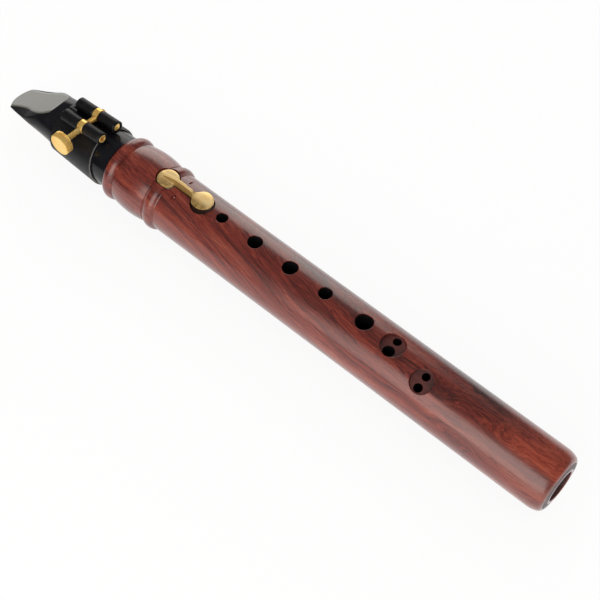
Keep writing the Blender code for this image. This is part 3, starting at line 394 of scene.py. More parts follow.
class Finish:
    """A material under construction: nodes are added through one method and read as values."""

    def __init__(self, name):
        self.material = bpy.data.materials.new(name)
        self.material.use_nodes = True
        self.tree = self.material.node_tree
        self.shader = self.tree.nodes["Principled BSDF"]

    def plug(self, target, value):
        if isinstance(value, Value):
            self.tree.links.new(value.socket, target)
        else:
            target.default_value = value

    def node(self, kind, settings=None, inputs=None, output=0):
        node = self.tree.nodes.new("ShaderNode" + kind)
        for name, value in (settings or {}).items():
            setattr(node, name, value)
        for name, value in (inputs or {}).items():
            self.plug(node.inputs[name], value)
        return Value(self, node.outputs[output])

    def place(self, stretch=(1, 1, 1), shift=(0, 0, 0)):
        """Millimetres from the foot end's middle, stretched along each axis for a pattern."""
        place = self.node("TexCoord", output="Object")
        centred = self.node("VectorMath", {"operation": "ADD"}, {0: place, 1: -FOOT})
        scale = tuple(1000 * value for value in stretch)
        return self.node("Mapping", {}, {"Vector": centred, "Location": shift, "Scale": scale})

    def point(self):
        """Its x, y and z, in millimetres from the foot end's middle."""
        x = self.node("SeparateXYZ", {}, {"Vector": self.place()})
        return [Value(self, socket) for socket in x.socket.node.outputs]

    def vector(self, x, y, z):
        return self.node("CombineXYZ", {}, {"X": x, "Y": y, "Z": z})

    def noise(self, vector, scale=1.0, detail=3.0, roughness=0.5, distortion=0.0):
        return self.node("TexNoise", {}, {
            "Vector": vector, "Scale": scale, "Detail": detail,
            "Roughness": roughness, "Distortion": distortion,
        })

    def grain(self, stretch, detail=3.0, roughness=0.5, shift=(0, 0, 0), distortion=0.0):
        """Noise with this many grains to the millimetre along each axis."""
        return self.noise(self.place(stretch, shift), 1.0, detail, roughness, distortion)

    def ramp(self, value, low, high, bottom=0.0, top=1.0):
        return self.node("MapRange", {"interpolation_type": "SMOOTHSTEP"}, {
            "Value": value, "From Min": low, "From Max": high, "To Min": bottom, "To Max": top,
        })

    def specks(self, stretch, shift, low, high, detail=2.0, roughness=0.5):
        """1 in scattered specks and 0 between them."""
        return self.ramp(self.grain(stretch, detail, roughness, shift), low, high)

    def colours(self, value, stops):
        """A colour between (value, colour) stops."""
        mixed = self.node("ValToRGB", {}, {"Fac": value})
        elements = mixed.socket.node.color_ramp.elements
        while len(elements) < len(stops):
            elements.new(0.5)
        for element, (position, colour) in zip(elements, stops):
            element.position = position
            element.color = (*colour, 1.0)
        return mixed

    def blend(self, factor, first, second):
        return self.node("Mix", {"data_type": "RGBA"}, {0: factor, 6: first, 7: second}, output=2)

    def bump(self, height, strength, distance):
        inputs = {"Height": height, "Strength": strength, "Distance": distance * 0.001}
        return self.node("Bump", {}, inputs)

    def set(self, **values):
        for name, value in values.items():
            self.plug(self.shader.inputs[name.replace("_", " ")], value)
        return self


def rgb(red, green, blue):
    return (red, green, blue, 1.0)


def hollow_mask(wood, point, middle, radius, turn=0):
    """1 in a round hollow that is cut into the body's upper side, 0 elsewhere."""
    x, y, z = point
    turn = math.radians(turn)
    from_middle = ((x - middle) ** 2.0 + (y * math.cos(turn) + z * math.sin(turn)) ** 2.0) ** 0.5
    under_surface = wood.ramp((y * y + z * z) ** 0.5, BODY_RADIUS - 0.1, BODY_RADIUS - 0.4)
    return wood.ramp(from_middle, radius + 0.4, radius + 0.1) * wood.ramp(z, 0.0, 5.0) * under_surface


def make_rosewood():
    """Oiled rosewood: slanting growth layers, a dark swirling streak along the top that also carries
    painted shade, long fibres and open pores, with a painted greyer sheen by the foot and painted shade
    in the key's recesses.
    """
    wood = Finish("oiled_rosewood")
    x, y, z = wood.point()
    to_foot = wood.ramp(x, -165.0, -75.0)
    drift = wood.grain((0.010, 0.045, 0.045), 2.0, 0.5) - 0.5
    swirl = wood.grain((0.040, 0.10, 0.10), 2.0, 0.5, shift=(3, 1, 5), distortion=0.4) - 0.5
    layer = wood.ramp(x, -260.0, -70.0, 27.0, 0.0) - y * 0.64 - z * 0.77 + drift * 9.0
    layer = layer + swirl * (to_foot * 9.0 + 3.0)
    beside = y * 0.77 - z * 0.64 + swirl * 6.0
    along_layers = wood.vector(x * 0.022, layer, beside * 0.35)
    patch = wood.noise(wood.vector(x * 0.012, layer * 0.16, beside * 0.08), 1.0, 2.0, 0.5)
    streak = wood.noise(along_layers, 0.8, 3.0, 0.6)
    fibre = wood.noise(along_layers, 2.2, 4.0, 0.7)
    fine = wood.grain((0.20, 3.4, 3.4), 3.0, 0.6, (7, 3, 2))
    # Darker along the upper side: partly the wood's dark streak, partly painted shade.
    from_top = (y - 1.0) ** 2.0 + (z - 14.5) ** 2.0 * 0.8
    top_shade_and_streak = wood.ramp(from_top + drift * 90.0, 40.0, 150.0, 1.0, 0.0) * (to_foot * 0.6 + 0.4)
    foot_glow = wood.ramp(x + drift * 20.0, -48.0, -12.0)
    tone = patch * 0.40 + streak * 0.32 + fibre * 0.50 + fine * 0.26 - 0.205
    tone = tone - top_shade_and_streak * (1.0 - foot_glow) * 0.075 + foot_glow * 0.04 + to_foot * (1.0 - top_shade_and_streak) * 0.01
    colour = wood.colours(tone, (
        (0.34, (0.030, 0.004, 0.003)),
        (0.44, (0.084, 0.007, 0.004)),
        (0.53, (0.158, 0.016, 0.007)),
        (0.62, (0.238, 0.036, 0.016)),
        (0.76, (0.360, 0.086, 0.038)),
    ))
    glint = wood.noise(wood.vector(x * 0.10, layer * 1.3, beside * 0.5), 1.5, 4.0, 0.65)
    colour = wood.blend(wood.ramp(glint, 0.50, 0.75) * top_shade_and_streak * 0.5, colour, rgb(0.34, 0.062, 0.024))
    first, second = (
        hollow_mask(wood, (x, y, z), -hole["from_foot"], hole["dish"] / 2, hole["turn"])
        for hole in DOUBLE_HOLES
    )
    dishes = first.most(second)
    first, second = (hollow_mask(wood, (x, y, z), middle, RECESS_RADIUS) for middle in (CUP_X, TOUCH_X))
    shaded_recesses = first.most(second)
    hollows = dishes.most(shaded_recesses)
    ember = foot_glow * wood.ramp(y, -9.0, -5.0)
    colour = wood.blend(ember * wood.ramp(fibre, 0.35, 0.6, 0.1, 0.45), colour, rgb(0.36, 0.052, 0.020))
    # Painted sheen: the near flank by the foot is greyed where the near soft box is mirrored.
    painted_sheen_grey = wood.ramp(x, -75.0, -30.0) * wood.ramp(y, -5.0, -9.0) * wood.ramp(z, 3.0, 8.0)
    colour = wood.blend(painted_sheen_grey * 0.45, colour, rgb(0.110, 0.040, 0.034))
    colour = wood.blend(dishes * 0.65, colour, rgb(0.050, 0.009, 0.008))
    # Painted shade: the recesses under the key's cup and touch are made almost black.
    colour = wood.blend(shaded_recesses * 0.85, colour, rgb(0.010, 0.004, 0.004))
    open_pores = wood.specks((0.30, 2.0, 2.0), (5, 2, 9), 0.66, 0.71) * wood.ramp(streak, 0.45, 0.6)
    pores = wood.specks((0.32, 4.6, 4.6), (1, 8, 4), 0.64, 0.72).most(open_pores)
    colour = wood.blend(pores * 0.6, colour, rgb(0.016, 0.006, 0.005))
    relief = fine * 0.35 + fibre * 0.25 - pores * 0.8
    return wood.set(
        Base_Color=colour,
        Roughness=wood.ramp(fibre, 0.3, 0.75, 0.26, 0.38) + pores * 0.25 + hollows * 0.25,
        Coat_Weight=(1.0 - hollows * 0.8) * 0.7,
        Coat_Roughness=0.2,
        Normal=wood.bump(relief, 0.3, 0.08),
    ).material


def make_shaded_bore():
    """The bore and the finger holes: painted shade, near black deep inside and brown towards the foot
    end's mouth.
    """
    bore = Finish("shade_painted_bore")
    ring = bore.grain((3.0, 0.3, 0.3), 3.0, 0.6)
    haze = bore.grain((0.2, 0.6, 0.6), 4.0, 0.6)
    x, _, _ = bore.point()
    deep_shade = bore.colours(haze, ((0.3, (0.004, 0.004, 0.005)), (0.75, (0.012, 0.009, 0.010))))
    mouth = bore.colours(haze, ((0.3, (0.055, 0.024, 0.026)), (0.75, (0.110, 0.048, 0.050))))
    return bore.set(
        Base_Color=bore.blend(bore.ramp(x, -45.0, -12.0), deep_shade, mouth),
        Roughness=bore.ramp(ring, 0.3, 0.7, 0.34, 0.5),
        Normal=bore.bump(ring * 0.6 + haze * 0.4, 0.2, 0.05),
    ).material


def make_ebonite():
    """Polished black hard rubber with faint machining and handling marks."""
    rubber = Finish("black_ebonite")
    x, _, z = rubber.point()
    haze = rubber.grain((0.12, 0.12, 0.12), 4.0, 0.6)
    lathe = rubber.grain((5.0, 0.05, 0.05), 2.0, 0.5)
    sanding = rubber.grain((0.3, 6.0, 0.3), 3.0, 0.6, (2, 6, 1))
    ramp_start = TABLE_DEPTH - TIP_OPENING - TIP_RAIL_THICKNESS + RAMP_RISE * TIP_X
    ramp_end = TIP_X + RAMP_LENGTH
    above_ramp = z + ramp_start - x * RAMP_RISE
    ramp = rubber.ramp(above_ramp, -0.5, -0.15)
    ramp = ramp * rubber.ramp(x, ramp_end - 0.4, ramp_end + 0.3, 1.0, 0.0)
    cheek = rubber.ramp(x, TIP_X + 22.0, TIP_X + 31.0, 1.0, 0.0)
    cheek = cheek * rubber.ramp(above_ramp, -9.0, -5.0) * (1.0 - ramp)
    polished = rubber.colours(haze, ((0.3, (0.003, 0.003, 0.005)), (0.8, (0.008, 0.008, 0.011))))
    scratches = haze * 0.6 + sanding * 0.4
    # The ramp's grey: sanded ebonite, lightened further as a painted reflection.
    sanded_grey_and_sheen = rubber.colours(scratches, ((0.3, (0.105, 0.102, 0.078)), (0.7, (0.160, 0.156, 0.118))))
    return rubber.set(
        Base_Color=rubber.blend(ramp, polished, sanded_grey_and_sheen),
        Roughness=rubber.ramp(haze, 0.3, 0.7, 0.16, 0.24) + ramp * 0.12 + cheek * 0.26,
        IOR=1.5,
        Specular_IOR_Level=0.32,
        Coat_Weight=ramp * 0.9,
        Coat_Roughness=0.2,
        Coat_IOR=1.7,
        Normal=rubber.bump(lathe * 0.3 + haze * 0.5, 0.06, 0.10),
    ).material


def make_leather(name, low, high, gloss):
    """Smooth calf leather with a fine pebbled grain."""
    leather = Finish(name)
    cells = {"Vector": leather.place((2.4, 2.4, 2.4)), "Scale": 1.0, "Smoothness": 0.5}
    pebble = leather.node("TexVoronoi", {"feature": "SMOOTH_F1"}, cells)
    crease = leather.grain((0.5, 0.5, 0.5), 5.0, 0.6)
    return leather.set(
        Base_Color=leather.colours(crease, ((0.3, low), (0.75, high))),
        Roughness=leather.ramp(pebble, 0.1, 0.7, gloss, gloss + 0.18),
        Specular_IOR_Level=0.3,
        Normal=leather.bump(pebble * 0.6 + crease * 0.8, 0.35, 0.12),
    ).material


def blade_painted_shade(brass):
    """Painted shade on the key: the blade's flanks, and the near slopes of its two discs, mottled."""
    x, y, z = brass.point()
    from_peak = x - PIVOT_X
    ridge = 18.6 - from_peak * from_peak * brass.ramp(from_peak, -1.0, 1.0, 0.0205, 0.009)
    above_cup = brass.ramp(z + brass.ramp(from_peak, -4.6, -3.6, 0.0, 5.0), 15.3, 15.55)
    flank = brass.ramp(ridge - z, 0.25, 0.55) * above_cup * brass.ramp(from_peak, 8.2, 6.0)
    mottle = brass.ramp(brass.grain((0.5, 0.5, 0.5)), 0.3, 0.7, 0.5, 0.9)
    return (flank * 0.8).most(brass.ramp(y, 0.5, -4.0) * mottle)


def make_brass(name, low, high, gloss, brush, metallic, painted_shade=None):
    """Brass with soft tarnish in patches, fine polishing lines and perhaps painted shade."""
    brass = Finish(name)
    patch = brass.grain((0.25, 0.25, 0.25), 4.0, 0.6)
    lines = brass.grain(brush, 2.0, 0.6)
    spots = brass.specks((1.3, 1.3, 1.3), (4, 4, 4), 0.62, 0.72, 3.0, 0.6)
    colour = brass.colours(patch, ((0.3, low), (0.7, high)))
    colour = brass.blend(spots * 0.3, colour, rgb(*(0.5 * value for value in low)))
    # Painted shade, where a mask for it is given.
    if painted_shade:
        colour = brass.blend(painted_shade(brass), colour, rgb(0.24, 0.12, 0.015))
    return brass.set(
        Base_Color=colour,
        Metallic=metallic,
        Roughness=brass.ramp(patch, 0.3, 0.7, gloss, gloss + 0.1) + spots * 0.1,
        Normal=brass.bump(lines + patch * 0.4, 0.12, 0.05),
    ).material


def make_cane():
    """Reed cane: straight pale fibres with darker vessels."""
    cane = Finish("reed_cane")
    fibre = cane.grain((0.05, 4.5, 1.5), 3.0, 0.6)
    vessel = cane.specks((0.08, 9.0, 3.0), (2, 5, 1), 0.6, 0.68)
    colour = cane.colours(fibre, ((0.3, (0.50, 0.34, 0.15)), (0.7, (0.74, 0.58, 0.33))))
    return cane.set(
        Base_Color=cane.blend(vessel * 0.35, colour, rgb(0.30, 0.19, 0.08)),
        Roughness=cane.ramp(fibre, 0.3, 0.7, 0.42, 0.58),
        Normal=cane.bump(fibre - vessel, 0.3, 0.06),
    ).material


def make_cork():
    """Sheet cork with dark specks and a greased surface."""
    cork = Finish("tenon_cork")
    grain = cork.grain((1.2, 1.2, 1.2), 5.0, 0.7)
    speck = cork.specks((2.2, 2.2, 2.2), (3, 3, 3), 0.62, 0.70)
    colour = cork.colours(grain, ((0.3, (0.36, 0.20, 0.09)), (0.7, (0.60, 0.40, 0.21))))
    return cork.set(
        Base_Color=cork.blend(speck * 0.8, colour, rgb(0.12, 0.06, 0.03)),
        Roughness=cork.ramp(grain, 0.3, 0.7, 0.6, 0.85),
        Normal=cork.bump(grain - speck * 0.6, 0.5, 0.2),
    ).material


def make_steel():
    """Tempered spring steel, blued unevenly along its length."""
    steel = Finish("blued_steel")
    heat = steel.grain((0.4, 0.8, 0.8), 3.0, 0.6)
    lines = steel.grain((0.3, 12.0, 12.0), 2.0)
    return steel.set(
        Base_Color=steel.colours(heat, ((0.3, (0.10, 0.13, 0.26)), (0.7, (0.30, 0.30, 0.36)))),
        Metallic=1.0,
        Roughness=steel.ramp(heat, 0.3, 0.7, 0.22, 0.34),
        Normal=steel.bump(lines, 0.1, 0.03),
    ).material


# Wooden body


def foot_profile():
    """From the bore's mouth over the flat ring and rounded edge to the straight body."""
    flat = BORE_RADIUS + 1.3
    belly, tight = 11.8, 2.6
    start, end = math.radians(23), math.radians(80)
    edge_r = BODY_RADIUS - belly * (1 - math.cos(start))
    low_r = edge_r - tight * (math.cos(start) - math.cos(end))
    x = -(low_r - flat) * math.tan(math.radians(10))
    points = [(0.0, BORE_RADIUS + 0.25), (0.0, flat - 0.3), (-0.03, flat), (x, low_r)]
    bends = ((tight, end, start, 12, edge_r), (belly, start, 0, 8, BODY_RADIUS))
    for radius, first, last, count, top in bends:
        x = points[-1][0]
        for angle in spread(first, last, count)[1:]:
            along = radius * (math.sin(first) - math.sin(angle))
            points.append((x - along, top - radius * (math.cos(last) - math.cos(angle))))
    return points


def head_profile():
    """Bead, bulb and rim, with the grooves between them."""
    rim_x = -BODY_LENGTH + 3.1
    rim_top = BODY_RADIUS + 1.65
    rim_back = arc((rim_x, rim_top - 1.9), (3.0, 1.9), 25, 90, 10)
    groove_x = rim_back[0][0] + 0.4
    bulb_front = groove_x + 0.4
    bulb_back = bulb_front + 18.6
    bead_front = bulb_back + 0.9
    bead_x = bead_front + 2.75
    bead_back = bead_front + 5.5
    points = [(bead_back + 1.4, BODY_RADIUS), (bead_back + 0.9, BODY_RADIUS - 0.03)]
    points += [(bead_back + 0.5, BODY_RADIUS - 0.2)]
    points += arc((bead_x, BODY_RADIUS - 0.2), (2.75, 1.72), 6, 174, 26)
    points += [(bulb_back + 0.6, BODY_RADIUS + 0.02), (bulb_back + 0.3, BODY_RADIUS + 0.08)]
    middle = (bulb_front + bulb_back) / 2
    for share in spread(1, -1, 28):
        points.append((middle + share * 9.3, BODY_RADIUS + 1.55 - 1.05 * share * share))
    points += [(groove_x + 0.2, BODY_RADIUS + 0.3), (groove_x - 0.15, BODY_RADIUS + 0.25)]
    points += rim_back
    points += arc((rim_x, rim_top - 3.3), (3.1, 3.3), 90, 180, 18)[1:]
    return points


def body_profile():
    """The whole closed outline of the turned body, from the bore's mouth round to the bore."""
    foot = foot_profile()
    head = head_profile()
    straight = mix_points(foot[-1], head[0], 3.0)
    socket_x = -BODY_LENGTH + SOCKET_DEPTH
    inside = [
        (-BODY_LENGTH, SOCKET_RADIUS + 0.4), (-BODY_LENGTH + 0.4, SOCKET_RADIUS),
        (socket_x, SOCKET_RADIUS), (socket_x, BORE_RADIUS),
    ]
    bore = mix_points((socket_x, BORE_RADIUS), (-0.25, BORE_RADIUS), 10.0)
    return foot + straight + head + inside + bore + [(-0.25, BORE_RADIUS)]


def mix_points(first, last, spacing):
    """Points between two others at about this spacing, both ends left out."""
    count = max(2, round(abs(last[0] - first[0]) / spacing))
    return list(zip(spread(first[0], last[0], count), spread(first[1], last[1], count)))[1:-1]


def lipped_hole(x, turn, diameter, depth, lip=HOLE_LIP, steps=64):
    """A drill with a flared shoulder, which leaves the hole's edge rounded where it meets the body."""
    radius = diameter / 2
    levels = [(radius, None)]
    for angle in map(math.radians, (0, 22, 44, 62, 76)):
        levels.append((radius + lip * (1 - math.cos(angle)), lip * (1 - math.sin(angle))))
    levels.append((radius + lip + 0.6, -0.9))
    rings = []
    for size, below in levels:
        ring = []
        for index in range(steps):
            angle = TURN * index / steps
            along, across = size * math.cos(angle), size * math.sin(angle)
            up = depth if below is None else math.sqrt(BODY_RADIUS**2 - across**2) - below
            y = across * math.cos(turn) - up * math.sin(turn)
            ring.append((x + along, y, across * math.sin(turn) + up * math.cos(turn)))
        rings.append(ring)
    drill = loft(rings)
    if depth == 0:
        give_bore_shade(drill, lambda middle: math.hypot(middle.y, middle.z) < BODY_RADIUS - lip - 1)
    return drill


def double_hole_drills(from_foot, turn, dish, large, small, spacing):
    """A shallow dish turned towards the near side, with its large and small holes."""
    turn = math.radians(turn)
    floor = math.sqrt(BODY_RADIUS**2 - (dish / 2) ** 2) - DISH_DEPTH / 2
    drills = [lipped_hole(-from_foot, turn, dish, floor, 0.3)]
    upright = (0, -math.sin(turn), math.cos(turn))
    for diameter, side in ((large, -spacing / 2), (small, spacing / 2)):
        radius = diameter / 2
        lip = ((-0.25, 0), (-0.08, 0.06), (0.05, 0.22), (1, 0.3))
        lip = [(floor + rise, radius + flare) for rise, flare in lip]
        centre = (-from_foot, side * math.cos(turn), side * math.sin(turn))
        drill = turned([(0, 0), (0, radius), *lip, (floor + 1, 0)], 48, axis=upright, centre=centre)
        drills.append(give_bore_shade(drill, lambda middle: middle.dot(Vector(upright)) < floor - 0.3))
    return drills


def make_body(wood, shaded_bore_material):
    def is_inside(middle):
        return math.hypot(middle.y, middle.z) < SOCKET_RADIUS + 0.1 and -BODY_LENGTH + 1 < middle.x < -0.2

    # The socket and bore walls take the bore's painted shade.
    outside = give_bore_shade(turned(body_profile(), 144, closed=True), is_inside)
    body = make_object("turned_body", outside, wood, shaded_bore_material)
    drills = [lipped_hole(-from_foot, 0, diameter, 0) for from_foot, diameter in FINGER_HOLES]
    drills.append(lipped_hole(-THUMB_HOLE[0], math.pi, THUMB_HOLE[1], 0))
    for hole in DOUBLE_HOLES:
        drills += double_hole_drills(**hole)
    for x, floor in ((CUP_X, CUP_FLOOR_Z), (TOUCH_X, TOUCH_FLOOR_Z)):
        drills.append(rod(floor, ABOVE_BODY_Z, RECESS_RADIUS, 96, centre=(x, 0, 0)))
    tone_hole = rod(0, CUP_FLOOR_Z + 1, TONE_HOLE_RADIUS, centre=(CUP_X, 0, 0))
    drills.append(give_bore_shade(tone_hole, lambda middle: middle.z < CUP_FLOOR_Z + 0.5))
    drills.append(rod(-BODY_RADIUS, BODY_RADIUS, PIVOT_HOLE_RADIUS, 32, ACROSS, PIVOT))
    entry = [
        (-BODY_RADIUS, 0), (-BODY_RADIUS, PIN_MOUTH_RADIUS), (-5.2, PIN_MOUTH_RADIUS),
        (-4.8, PIVOT_HOLE_RADIUS), (-4.8, 0),
    ]
    drills.append(turned(entry, 32, axis=ACROSS, centre=PIVOT))
    slot = bmesh.new()
    low = Vector((CUP_X + CUP_RADIUS - 0.45, -SLOT_HALF_WIDTH, SLOT_FLOOR_Z))
    high = Vector((PIVOT_X + 7.7, SLOT_HALF_WIDTH, ABOVE_BODY_Z))
    place = Matrix.Translation((low + high) / 2) @ Matrix.Diagonal((*(high - low), 1))
    bmesh.ops.create_cube(slot, size=1, matrix=place)
    drills.append(slot)
    carve(body, drills)
    finish_piece(body, "body", ["wooden_body"], crease=40, weighted=True)


# Mouthpiece


def ramp_height(along):
    """Height of the top this far behind the tip: the ramp, its crest and the narrow flat behind it."""
    height = -TABLE_DEPTH + TIP_OPENING + TIP_RAIL_THICKNESS + RAMP_RISE * min(along, RAMP_LENGTH)
    height += CREST_RISE * max(0.0, min(along, FLAT_START) - RAMP_LENGTH)
    height += FLAT_RISE * max(0.0, along - FLAT_START)
    return height if along < FLAT_END else SHANK_RADIUS + 2


def mouthpiece_ring(x, steps=256, sharpness=60):
    """Section of the mouthpiece at x.

    It is round, with square rails below, and cut by the ramp and by a bevel on each side of it.
    """
    along = x - TIP_X
    radius = mouthpiece_radius(x)
    top = ramp_height(along)
    width = read_curve(RAMP_EDGES, along)
    centre = min(0.0, (top - radius) / 2)
    ring = []
    for index in range(steps):
        angle = TURN * index / steps
        side, rise = abs(math.cos(angle)), math.sin(angle)
        reach = -centre * rise + math.sqrt(radius**2 - (centre * side) ** 2)
        if rise < 0:
            rails = min(RAIL_HALF_WIDTH / max(side, 1e-6), (centre + TABLE_DEPTH + 0.7) / -rise)
            reach = max(reach, rails)
        reaches = [reach]
        if rise > 0:
            reaches.append((top - centre) / rise)
        if BEVEL_FALL * side + rise > 0.02:
            reaches.append((top - centre + BEVEL_FALL * width) / (rise + BEVEL_FALL * side))
        shortest = min(reaches)
        reach = shortest * sum((shortest / item) ** sharpness for item in reaches) ** (-1 / sharpness)
        ring.append((x, reach * math.cos(angle), centre + reach * rise))
    return ring


def lay_height(x):
    """Height of the table at x, which curves up towards the tip."""
    past = max(0.0, TIP_X + LAY_LENGTH - x)
    return -TABLE_DEPTH + TIP_OPENING * (past / LAY_LENGTH) ** 2


def tip_arc(half_width, count=24):
    """Points along the bowed tip from one side to the other."""
    radius = (half_width**2 + TIP_BOW**2) / (2 * TIP_BOW)
    half_turn = math.asin(half_width / radius)
    return [
        (TIP_X + radius * (1 - math.cos(angle)), radius * math.sin(angle))
        for angle in spread(-half_turn, half_turn, count)
    ]


def plate(outline, low, high, axis):
    """A flat outline drawn out between two levels on the axis that it leaves out."""
    return loft([[(*point[:axis], level, *point[axis:]) for point in outline] for level in (low, high)])


def window_rings():
    """Sections of the cut through the window, whose roof slopes up into the chamber."""
    rear = WINDOW_FRONT_X + WINDOW_LENGTH
    rings = []
    for x in spread(WINDOW_FRONT_X, rear + 3, 25):
        along = x - WINDOW_FRONT_X
        top = lay_height(x) + 0.2 + 0.33 * along + 0.0021 * along**2
        rounding = min(2.2, 0.4 * (top - lay_height(x)) + 0.05)
        bottom = -SHANK_RADIUS - 2 if x <= rear else -CHAMBER_RADIUS
        corner = (WINDOW_HALF_WIDTH - rounding, top - rounding)
        side = arc(corner, (rounding, rounding), 0, 90, 6)
        ring = [(-WINDOW_HALF_WIDTH, bottom), (WINDOW_HALF_WIDTH, bottom)] + side
        ring += [(-y, z) for y, z in reversed(side)]
        rings.append([(x, y, z) for y, z in ring])
    return rings


def make_mouthpiece(ebonite):
    crest_x = TIP_X + RAMP_LENGTH
    ramp = [TIP_X - 1 + 0.5 * index for index in range(66)]
    crest = [crest_x + 0.1 * index for index in range(14)]
    flat = spread(TIP_X + FLAT_START + 0.2, TIP_X + FLAT_END - 0.05, 8)
    shank = spread(TIP_X + FLAT_END + 0.1, SHOULDER_X - 0.5, 30)
    stations = [x for x in ramp if x < crest_x - 0.1] + crest + flat + shank
    rings = [mouthpiece_ring(x) for x in (*stations, SHOULDER_X - 0.12)]
    rings.append([(SHOULDER_X, y * 0.985, z * 0.985) for _, y, z in mouthpiece_ring(SHOULDER_X)])
    mouthpiece = make_object("beaked_mouthpiece", loft(rings), ebonite)
    tenon_end = SHOULDER_X + TENON_LENGTH
    groove = TENON_RADIUS - CORK_THICKNESS - 0.2
    inside = SHOULDER_X - 4
    tenon = turned([
        (tenon_end, 0), (tenon_end, TENON_RADIUS - 0.3), (tenon_end - 0.3, TENON_RADIUS),
        (tenon_end - 2.2, TENON_RADIUS), (tenon_end - 2.2, groove), (SHOULDER_X + 2.2, groove),
        (SHOULDER_X + 2.2, TENON_RADIUS), (inside, TENON_RADIUS), (inside, 0),
    ], 128)
    carve(mouthpiece, [tenon], "UNION")
    front, rear = WINDOW_FRONT_X + WINDOW_LENGTH - 1, tenon_end + 2
    bore = turned([(front, 0), (front, CHAMBER_RADIUS), (rear, BORE_RADIUS), (rear, 0)], 96)
    table_end = SHOULDER_X - 4.4
    reach = SHANK_RADIUS + 2
    table = [(table_end, -TABLE_DEPTH), (table_end, -reach), (TIP_X - 2, -reach)]
    table += [(x, lay_height(x)) for x in spread(TIP_X - 2, TIP_X + LAY_LENGTH, 20)]
    bow = tip_arc(TIP_HALF_WIDTH)
    side_x = bow[0][0] + 2.1
    tip = bow + [(side_x, reach), (TIP_X - 4, reach), (TIP_X - 4, -reach), (side_x, -reach)]
    cuts = [plate(table, -reach, reach, 1), loft(window_rings()), plate(tip, -reach, reach, 2)]
    carve(mouthpiece, [bore, *cuts])
    finish_piece(mouthpiece, "mouthpiece", ["mouthpiece"], crease=32, weighted=True)


def make_reed(cane):
    """The reed: heel with its bark, then the vamp scraped down to the tip."""
    bow = [(x, y) for x, y in tip_arc(TIP_HALF_WIDTH, 32) if 0.2 < y < REED_TIP_HALF_WIDTH]
    x, half = bow[-1]
    bow += list(zip(spread(x, TIP_X + REED_LENGTH, 60), spread(half, REED_HEEL_HALF_WIDTH, 60)))[1:]
    rings = []
    for x, half in bow:
        share = min(1.0, max(0.0, (x - TIP_X) / VAMP_LENGTH))
        thickness = mix(REED_TIP_THICKNESS, REED_THICKNESS, share**1.2)
        ring = [(x, -half, REED_FACE_Z), (x, half, REED_FACE_Z)]
        for across in spread(1, -1, 24):
            ring.append((x, half * across, REED_FACE_Z - thickness * (1 - 0.38 * across**2)))
        rings.append(ring)
    reed = make_object("cane_reed", loft(rings), cane)
    finish_piece(reed, "mouthpiece", ["reed"], crease=30)


# Ligature


def band_point(x, angle, sharpness=28):
    """A point in the middle of the band's wall: round, but drawn flat under the reed."""
    from_inside = FIT_GAP + BAND_THICKNESS / 2
    radius = mouthpiece_radius(x) + from_inside
    rise = -math.sin(angle)
    reach = radius
    if rise > 0:
        flat = (-REED_FACE_Z + REED_THICKNESS + from_inside) / rise
        reach = min(radius, flat)
        total = (reach / radius) ** sharpness + (reach / flat) ** sharpness
        reach = max(reach * total ** (-1 / sharpness), reach - 0.12)
    return (x, reach * math.cos(angle), reach * math.sin(angle))


def make_band(leather, edge):
    """Leather band, open above between the sleeves, with its cut edges left pale."""
    opening = math.asin((SLEEVE_Y - SLEEVE_RADIUS / 2) / (mouthpiece_radius(SCREW_X) + FIT_GAP))
    bm = bmesh.new()
    bmesh.ops.create_grid(bm, x_segments=26, y_segments=120, size=0.5)
    for vert in bm.verts:
        share, turn = vert.co.x + 0.5, vert.co.y + 0.5
        angle = mix(math.pi / 2 + opening, math.pi / 2 + TURN - opening, turn)
        rear = BAND_REAR_X + 2.0 * (1 - math.sin(angle))
        vert.co = band_point(mix(BAND_FRONT_X, rear, share), angle)
    bmesh.ops.recalc_face_normals(bm, faces=bm.faces)
    band = make_object("leather_band", bm, leather, edge)
    wall = band.modifiers.new("wall", "SOLIDIFY")
    wall.thickness = BAND_THICKNESS * 0.92
    wall.offset = 0
    wall.use_even_offset = True
    wall.material_offset_rim = 1
    bake_modifiers(band)
    finish_piece(band, "ligature", ["ligature_band"], crease=50)


def make_sleeves(leather):
    """The band's ends, folded into two tubes that hold the pins and leave a gap for the screw."""
    gap = NOTCH_WIDTH / 2
    inner, outer, ease = PIN_RADIUS + FIT_GAP, SLEEVE_RADIUS, 0.22
    for name, y in (("near", -SLEEVE_Y), ("far", SLEEVE_Y)):
        tubes = []
        for start, end in ((SLEEVE_FRONT_X - SCREW_X, -gap), (gap, SLEEVE_REAR_X - SCREW_X)):
            profile = [(start, inner), (start, outer - ease)]
            profile += [(x, outer) for x in spread(start + ease, end - ease, 8)]
            profile += [(end, outer - ease), (end, inner)]
            centre = (SCREW_X, y, SLEEVE_Z)
            tubes.append(turned(profile, 64, closed=True, axis=SLEEVE_AXIS, centre=centre))
        folded = join(*tubes)
        for vert in folded.verts:
            reach = math.hypot(vert.co.y, vert.co.z)
            least = mouthpiece_radius(vert.co.x) + SLEEVE_CLEARANCE
            if reach < least:
                vert.co.yz *= least / reach
        sleeve = make_object(f"{name}_leather_sleeve", folded, leather)
        finish_piece(sleeve, "ligature", crease=50)


def pin_half(length, hollow):
    """Outline of half a pin, from its end to its collar."""
    ease = 0.15
    collar = NOTCH_WIDTH / 2 - ease
    if hollow:
        end = [(length - 3, 0), (length - 3, 1.15), (length - ease, 1.15), (length, 1.3)]
        end += [(length, PIN_RADIUS - ease), (length - ease, PIN_RADIUS)]
    else:
        end = arc((length - 0.8, 0), (0.8, PIN_RADIUS), 0, 90, 8)
    return end + [(collar, PIN_RADIUS), (collar, COLLAR_RADIUS - ease), (collar - ease, COLLAR_RADIUS)]


